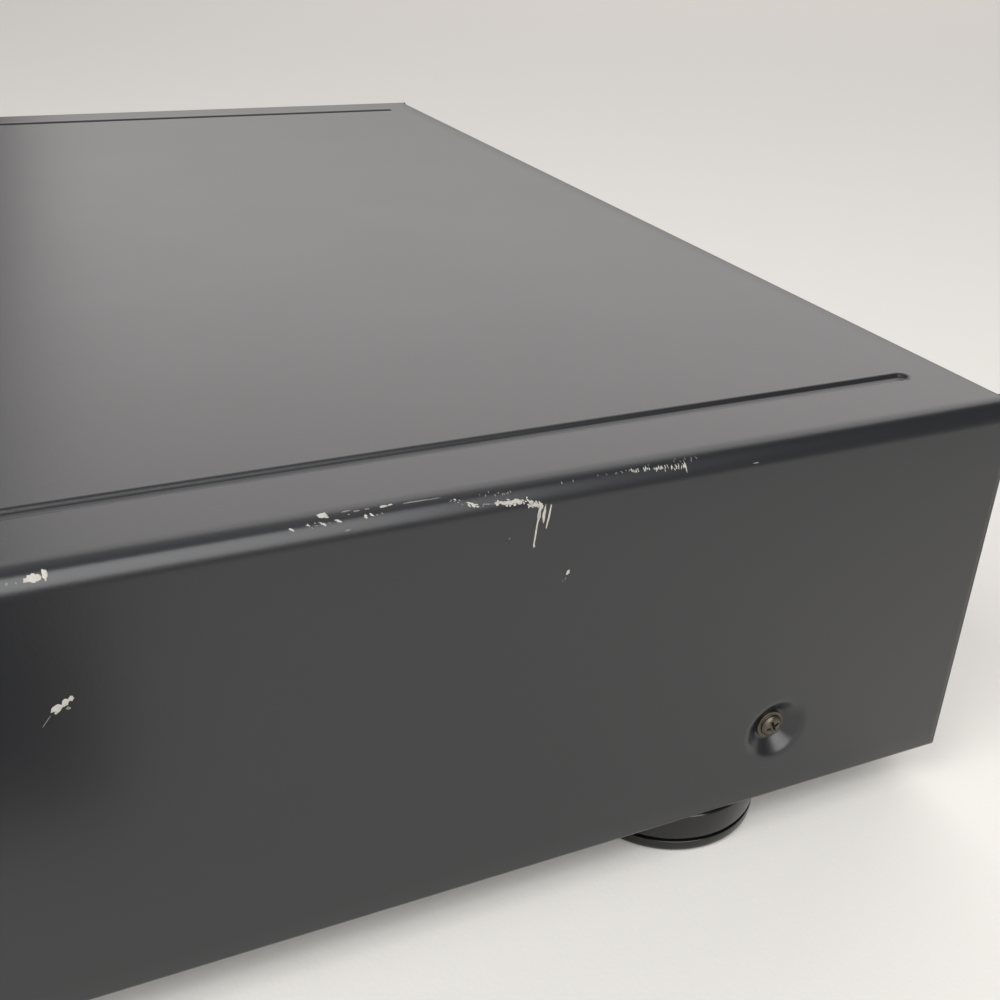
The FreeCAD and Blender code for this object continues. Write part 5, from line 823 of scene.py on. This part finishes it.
@dataclass
class Chassis(Assembly):
    """Base, rear panel, sockets, transformer and main board."""

    board_top: float = 23.65

    def build(self) -> None:
        """Finishes the fixed metalwork and what is bolted to it."""
        self.dress(GALVANISED, "chassis_base", "clamp_bridge")
        self.dress(REAR_ENAMEL, "rear_panel")
        self.dress(SOCKET_NYLON, "jack_housing", "headphone_jack")
        self.dress(GOLD, "jack_shells")
        self.dress(Zoned("ring_inks", "#b3241d", 0.45, Grain.SPARK, 0.5, 0.01, zones=(
            Zone((80, 190, 30), (107, 200, 60), "#d8d6cf"),
            Zone((129, 190, 30), (150, 200, 60), "#cf6f1c"))), "jack_rings")
        self.dress(Zoned("inlet_nylon_and_pins", "#161617", 0.4, Grain.SPARK, 0.4, 0.015, zones=(
            Zone((-166, 178, 42), (-154, 193.8, 46), "#c0c0bd", 1.0),)), "ac_inlet")
        # Stacked silicon-steel laminations, varnished brown, round a taped copper coil.
        self.dress(Zoned("varnished_laminations", "#4a443c", 0.5, Grain.DRAWN, 0.7, 0.15, tint=0.25, zones=(
            Zone((-166, 56, 20), (-130, 67.4, 50), "#8f5a1e"),
            Zone((-166, 117.6, 20), (-130, 130, 50), "#8f5a1e"))), "power_transformer")
        # Green solder mask; the parts above it are black epoxy, blue sleeves and bare aluminium fins.
        self.dress(Zoned("solder_mask_and_parts", "#1f4a27", 0.35, Grain.SPARK, 1.4, 0.03, zones=(
            Zone((-200, -160, self.board_top), (200, 40, 60), "#1c1d1f"),
            Zone((-80, -35, self.board_top), (-40, 5, 60), "#a6a8aa", 0.9),
            Zone((-20, -30, self.board_top), (45, 5, 45.2), "#24335c"),
            Zone((-20, -30, 45.2), (45, 5, 60), "#b8babc", 0.9))), "main_board")
        self.dress(Zoned("front_board_mask", "#1f4a27", 0.35, Grain.SPARK, 1.4, 0.03, zones=(
            Zone((-215, -195, 10), (215, -177.55, 70), "#1a1b1d"),)), "front_board")


# ------------------------------------------------------------------ front
Line = tuple[Array, float | Sequence[float]]
RING = arc(0, 0, 1.5, 0, 360, 28)
GLYPHS: dict[str, list[Line]] = {
    "play": [(np.array([(-1.4, 0), (1.7, 0)]), (3.6, 0.02))],
    "pause": [(np.array([(x, -1.6), (x, 1.6)]), 0.9) for x in (-0.95, 0.95)],
    "stop": [(np.array([(-1.5, 0), (1.5, 0)]), 3.0)],
    "previous": [(np.array([(x, 0), (x + 2, 0)]), (0.02, 3.2)) for x in (-1.9, 0.1)]
    + [(np.array([(-2.3, -1.6), (-2.3, 1.6)]), 0.5)],
    "next": [(np.array([(x, 0), (x + 2, 0)]), (3.2, 0.02)) for x in (-2.1, -0.1)]
    + [(np.array([(2.3, -1.6), (2.3, 1.6)]), 0.5)],
    "repeat": [(np.vstack([arc(-1.3, 0, 1.2, 250, 90), arc(1.3, 0, 1.2, 90, -90), [(-0.3, -1.2)]]), 0.42),
               (np.array([(0.4, -1.2), (-0.9, -1.2)]), (1.7, 0.02))],
    "program": [(np.array([(-2.1, y), (2.1, y)]), 0.45) for y in (-1.2, 0, 1.2)],
    "disc_skip": [(RING, 0.4), (arc(0, 0, 0.35, 0, 360, 12), 0.4),
                  (np.array([(2.2, 0), (3.6, 0)]), (2.2, 0.02))],
    "open_close": [(np.array([(0, -0.5), (0, 1.6)]), (4.0, 0.02)),
                   (np.array([(-2.0, -1.3), (2.0, -1.3)]), 0.7)],
    "power": [(arc(0, 0, 1.9, 125, 415, 30), 0.45), (np.array([(0, 0.5), (0, 2.4)]), 0.45)],
    "disc1": [(np.array([(-0.6, 0.9), (0.1, 1.5), (0.1, -1.5)]), 0.42)],
    "disc2": [(np.vstack([arc(0, 0.65, 0.85, 165, -38), [(-0.9, -1.4), (0.95, -1.4)]]), 0.42)],
    "disc3": [(arc(0, 0.72, 0.75, 150, -90), 0.42), (arc(0, -0.68, 0.8, 90, -150), 0.42)],
    "disc4": [(np.array([(0.45, -1.5), (0.45, 1.5), (-0.95, -0.55), (1.0, -0.55)]), 0.42)],
    "disc5": [(np.vstack([[(0.8, 1.4), (-0.65, 1.4), (-0.75, 0.15)], arc(0, -0.5, 0.92, 130, -140)]), 0.42)],
}


@dataclass
class FrontPanel(Assembly):
    """The moulded front with its window, display, sockets, knob and printed marks."""

    face: float = -192.5
    key_face: float = -194.5
    print_mm: float = 0.06
    window: tuple[float, float] = (-35.0, 48.0)
    tube_face: float = -185.5
    knob: tuple[float, float] = (-158.0, 29.0)
    grips: int = 36
    grip_share: float = 0.028
    phones_sign: tuple[float, float] = (-192.0, 40.5)
    ticks: tuple[float, float] = (11.2, 12.6)
    figure: tuple[float, float] = (2.4, 5.0)
    first_figure: tuple[float, float] = (-38.0, -2.0)
    figure_pitch: float = 13.0
    figure_gap: float = 4.0
    slant: float = 0.12
    stroke: float = 0.85
    stroke_gap: float = 0.14
    first_ring: tuple[float, float] = (-30.0, 8.4)
    ring_pitch: float = 15.0
    keys: dict[str, tuple[float, float]] = field(default_factory=lambda: {
        **{f"disc{n}": (-99.0 + 32 * (n - 1), 22.5) for n in range(1, 6)},
        **{name: (92.0 + 46 * column, 24.0 + 16.5 * row)
           for row, names in enumerate((("previous", "next", "repeat"), ("play", "pause", "stop"),
                                        ("program", "disc_skip", "open_close")))
           for column, name in enumerate(names)},
        "power": (-180.0, 56.0)})

    def printed(self, shapes: Sequence[Line], x: float, z: float, face: float, scale: float = 1.0) -> Skin:
        """Prints lines on a face that looks to the front, at (x, z)."""
        skin = Skin()
        for path, width in shapes:
            grid = ribbon(path * scale, np.asarray(width) * scale, self.print_mm)
            skin.add(placed(grid, (x, face, z), (1, 0, 0), (0, 0, 1), (0, -1, 0)), around=True)
        return skin

    def build(self) -> None:
        """Finishes the panel and its buttons, prints the signs, and makes the knob and display."""
        self.dress(FRONT_ABS, "front_panel", "tray_front")
        self.dress(WINDOW, "display_window")
        self.dress(TUBE_GLASS, "display_tube")
        for name, (x, z) in self.keys.items():
            self.dress(KEY_ABS, f"{name}_button")
            self.printed(GLYPHS[name], x, z, self.key_face).piece(
                f"{name}_sign", f"{name}_button", INK, "key_plastic")
        self.build_marks()
        self.build_display()
        self.build_knob()

    def build_marks(self) -> None:
        """Prints the headphone sign above its socket, and the ticks round the level knob."""
        (x, z), (knob_x, knob_z) = self.phones_sign, self.knob
        signs: list[Line] = [(arc(0, 0, 2.0, 0, 180), 0.4)]
        signs += [(np.array([(side * 2.0, 0.2), (side * 2.0, -1.3)]), 1.0) for side in (-1, 1)]
        signs += [(np.outer(self.ticks, (math.cos(a), math.sin(a))) + (knob_x - x, knob_z - z), 0.35)
                  for a in np.radians(np.linspace(-60, 240, 11))]
        self.printed(signs, x, z, self.face).piece("panel_marks", "casing", INK, "front_plastic")

    def build_display(self) -> None:
        """Draws the tube's unlit pattern: six slanted figures and five disc rings."""
        wide, tall = self.figure
        corners = np.array([(-wide, 0), (wide, 0), (wide, tall), (-wide, tall), (-wide, -tall),
                            (wide, -tall)])
        corners[:, 0] += self.slant * corners[:, 1]
        trim = np.array([[1 - self.stroke_gap, self.stroke_gap], [self.stroke_gap, 1 - self.stroke_gap]])
        pairs = ((0, 1), (1, 2), (3, 2), (0, 3), (4, 0), (5, 1), (4, 5))
        strokes = [trim @ corners[[a, b]] for a, b in pairs]
        left, level = self.first_figure
        lefts = [left + self.figure_pitch * n + (self.figure_gap if n > 1 else 0) for n in range(6)]
        shapes: list[Line] = [(stroke + (at, level), self.stroke) for at in lefts for stroke in strokes]
        left, level = self.first_ring
        shapes += [(RING + (left + self.ring_pitch * n, level), 0.4) for n in range(5)]
        self.printed(shapes, *self.window, self.tube_face).piece(
            "display_pattern", "casing", PHOSPHOR, "tube_glass")

    def build_knob(self) -> None:
        """Turns the level knob; its skirt's radius waves round for grip, and a printed line points up."""
        outline = softened([(0, -9), (2.9, -9), (2.95, -9), (2.95, -0.2), (8.7, -0.2), (9.0, 0.6),
                            (9.0, 8.4), (7.6, 9.9), (0, 9.9)], [0, 0, 0, 0.2, 0.3, 0.8, 0.8])
        grid = turned(outline, 144)
        angle = np.arctan2(grid[..., 1], grid[..., 0])
        radius = np.hypot(grid[..., 0], grid[..., 1])
        height = grid[..., 2]
        grip = ease((radius - 8.6) / 0.3) * ease((height - 0.8) / 0.6) * ease((8.2 - height) / 0.6)
        grid[..., :2] *= (1 - self.grip_share * grip * (0.5 + 0.5 * np.cos(self.grips * angle)))[..., None]
        x, z = self.knob
        body = placed(grid, (x, self.face - 0.1, z), (1, 0, 0), (0, 0, 1), (0, -1, 0))
        Skin().add(body, around=True).piece("grip_knob", "level_knob", KNOB_ABS, "knob_plastic",
                                            ["level_knob"], 40)
        line = self.printed([(np.array([(0, 3.0), (0, 7.0)]), 0.8)], x, z, self.face - 10.0)
        line.piece("knob_line", "level_knob", INK, "knob_plastic")


# ------------------------------------------------------------------ drawer and lift
@dataclass
class Drawer(Assembly):
    """The drawer: tray, carousel with numbered pockets, its gears, belt and motor."""

    centre: float = -11.5
    plate_top: float = 91.0
    number_circle: float = 38.0

    def build(self) -> None:
        """Finishes the drawer's parts and prints the pocket numbers by the hub."""
        self.dress(DRAWER_STYRENE, "tray", "carousel", "hub_cap")
        self.dress(ACETAL, "carousel_gear", "carousel_pinion", "loading_gear")
        self.dress(BRASS, "carousel_motor_pulley", "loading_motor_pulley")
        self.dress(RUBBER, "carousel_belt", "loading_belt")
        self.dress(CAN_STEEL, "carousel_motor", "loading_motor")
        self.dress(FRAME_STYRENE, "loader_frame")
        skin = Skin()
        for pocket in range(5):
            out = np.radians(90 + 72 * pocket)
            up = np.array([math.cos(out), math.sin(out), 0])
            across = np.array([up[1], -up[0], 0])
            at = np.array([0, self.centre, self.plate_top]) + up * self.number_circle
            for path, width in GLYPHS[f"disc{pocket + 1}"]:
                grid = ribbon(path * 1.6, width * 1.6, 0.06)
                skin.add(placed(grid, at, across, up, (0, 0, 1)), around=True)
        skin.piece("pocket_numbers", "carousel", DISC_INK, "drawer_plastic")


@dataclass
class Lift(Assembly):
    """The lift: cam, carriage, spindle with its mat, sled and pickup with its lens."""

    spindle: tuple[float, float] = (0.0, 92.5)
    lens: tuple[float, float, float] = (24.0, 92.5, 79.0)
    table_top: float = 80.5

    def build(self) -> None:
        """Finishes the lift's parts, and adds the table's rubber mat and the pickup's lens."""
        self.dress(FRAME_STYRENE, "lift_frame", "lift_carriage", "clamp_puck", "optical_pickup", "disc_table")
        self.dress(ACETAL, "lift_cam")
        self.dress(CAN_STEEL, "spindle_motor", "sled_motor")
        self.dress(ROD_STEEL, "sled_rods", "sled_screw")
        mat = softened([(10.4, -0.05), (10.4, 0.3), (13.2, 0.3), (13.2, -0.05), (10.4, -0.05)],
                       [0.12, 0.12, 0])
        Skin().add(turned(mat) + np.array([*self.spindle, self.table_top]), around=True).piece(
            "table_mat", "disc_table", RUBBER, "belt_rubber")
        bearing = np.linspace(0, 1, 7)[:, None] * np.pi / 2
        dome = np.hstack([2.6 * np.sin(bearing), 0.1 + 0.7 * np.cos(bearing)])
        lens = np.vstack([dome, [(2.6, -0.05), (0, -0.05)]])
        Skin().add(turned(lens, 40) + np.array(self.lens), around=True).piece(
            "objective_lens", "optical_pickup", LENS_GLASS, "tube_glass", sharp=50)


# ------------------------------------------------------------------ stage
@dataclass(frozen=True)
class Lamp:
    """A soft rectangular light: where it is, where it aims, its sides in metres and its radiance."""

    name: str
    at: Point
    aim: Point
    size: tuple[float, float]
    radiance: float
    colour: str = "#ffffff"

    def hang(self) -> None:
        """Adds the light, unseen by the camera; its power is pi times area times radiance."""
        data = bpy.data.lights.new(self.name, "AREA")
        data.shape, (data.size, data.size_y) = "RECTANGLE", self.size
        data.color = linear(self.colour)[:3]
        data.energy = math.pi * self.size[0] * self.size[1] * self.radiance
        lamp = bpy.data.objects.new(self.name, data)
        back = np.array(self.at) - np.array(self.aim)
        back /= np.linalg.norm(back)
        across = np.cross((0, 0, 1), back)
        across /= np.linalg.norm(across)
        turn = np.eye(4)
        turn[:3, :4] = np.stack([across, np.cross(back, across), back, self.at], -1)
        lamp.matrix_world = Matrix(turn.tolist())
        lamp.visible_camera = False
        bpy.context.scene.collection.objects.link(lamp)


@dataclass
class Stage:
    """A pale sweep, soft lights and the camera."""

    floor: float = 7.0
    world: str = "#5a5a5b"
    lens: float = 43.39
    camera: Point = (406.15, -33.99, 224.13)
    axes: tuple[Point, Point, Point] = ((0.412, 0.911, 0.038), (-0.434, 0.159, 0.887), (0.801, -0.382, 0.461))
    lamps: tuple[Lamp, ...] = (
        Lamp("rear_wall", (-2.91, 2.0, 2.62), (0, 0, 0.1), (5.4, 3.9), 1.58, "#fffbf9"),
        Lamp("side_window", (2.33, 0.04, 1.6), (0.2, 0.04, 0.11), (1.95, 3.1), 3.9),
        Lamp("overhead", (-0.8, 0.7, 2.8), (-0.6, 0.5, 0), (2.6, 2.4), 0.5),
        Lamp("front_key", (0.49, -0.69, 0.96), (0.35, 0.1, 0), (0.7, 0.7), 6.0),
    )
    cards: tuple[tuple[float, float, float, float], ...] = (
        (0.56, 1.9, -0.7, 1.3), (0.29, 0.559, -0.3, -0.015))

    @staticmethod
    def lay(name: str, box: tuple[float, float, float, float], height: float,
            finish: Finish) -> bpy.types.Object:
        """Lays a flat rectangle (x from, x to, y from, y to) at a height, as part of the stage."""
        x, y = np.meshgrid(np.linspace(box[0], box[1], 9), np.linspace(box[2], box[3], 9), indexing="ij")
        index = np.arange(81).reshape(9, 9)
        quads = np.stack([index[:-1, :-1], index[1:, :-1], index[1:, 1:], index[:-1, 1:]], -1).reshape(-1, 4)
        mesh = bpy.data.meshes.new(name)
        mesh.from_pydata(np.stack([x, y, height + 0 * x], -1).reshape(-1, 3).tolist(), [], quads.tolist())
        mesh.materials.append(finish.make())
        thing = bpy.data.objects.new(name, mesh)
        bpy.context.scene.collection.objects.link(thing)
        return thing

    def build(self) -> None:
        """Lays the floor and the flag, hangs the lights, sets the sky's grey and places the camera."""
        self.lay("sweep", (-self.floor, self.floor, -self.floor, self.floor), -0.0001, PAPER)
        # Black cards under the camera, only there to be mirrored: painted shade that the cover reflects as a
        # dark line in the bend and a dim side; they cast no shadow and take no light.
        for number, box in enumerate(self.cards):
            card = self.lay(f"black_card_{number}", box, 0.002, FLAG_FELT)
            card.visible_camera = card.visible_shadow = card.visible_diffuse = False
        world = bpy.data.worlds.new("studio")
        world.use_nodes = True
        world.node_tree.nodes["Background"].inputs["Color"].default_value = linear(self.world)
        bpy.context.scene.world = world
        for lamp in self.lamps:
            lamp.hang()
        turn = np.eye(4)
        left, _, right = np.linalg.svd(np.array(self.axes))
        turn[:3, :3] = (left @ right).T
        turn[:3, 3] = np.array(self.camera) * MM
        data = bpy.data.cameras.new("camera")
        data.lens, data.sensor_width, data.clip_start = self.lens, 36, 0.01
        camera = bpy.data.objects.new("camera", data)
        camera.matrix_world = Matrix(turn.tolist())
        bpy.context.scene.collection.objects.link(camera)
        bpy.context.scene.camera = camera
        bpy.context.scene.view_settings.view_transform = "Standard"


def main() -> None:
    """Builds every group in order."""
    logging.basicConfig(level=logging.INFO, format="%(message)s")
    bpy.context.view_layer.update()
    cover, feet = Cover(), Feet()
    groups = (Stage(), cover, Wear(cover, "enamel_chips", PRIMER, CHIPS, CHIP_RUNS),
              Wear(cover, "enamel_scratches", RUBBED, SCRATCHES, SCRATCH_RUNS), Screws(cover, feet), feet,
              Chassis(), FrontPanel(), Drawer(), Lift())
    for group in groups:
        group.build()
        LOG.info("%s is built", type(group).__name__)


if __name__ == "__main__":
    main()
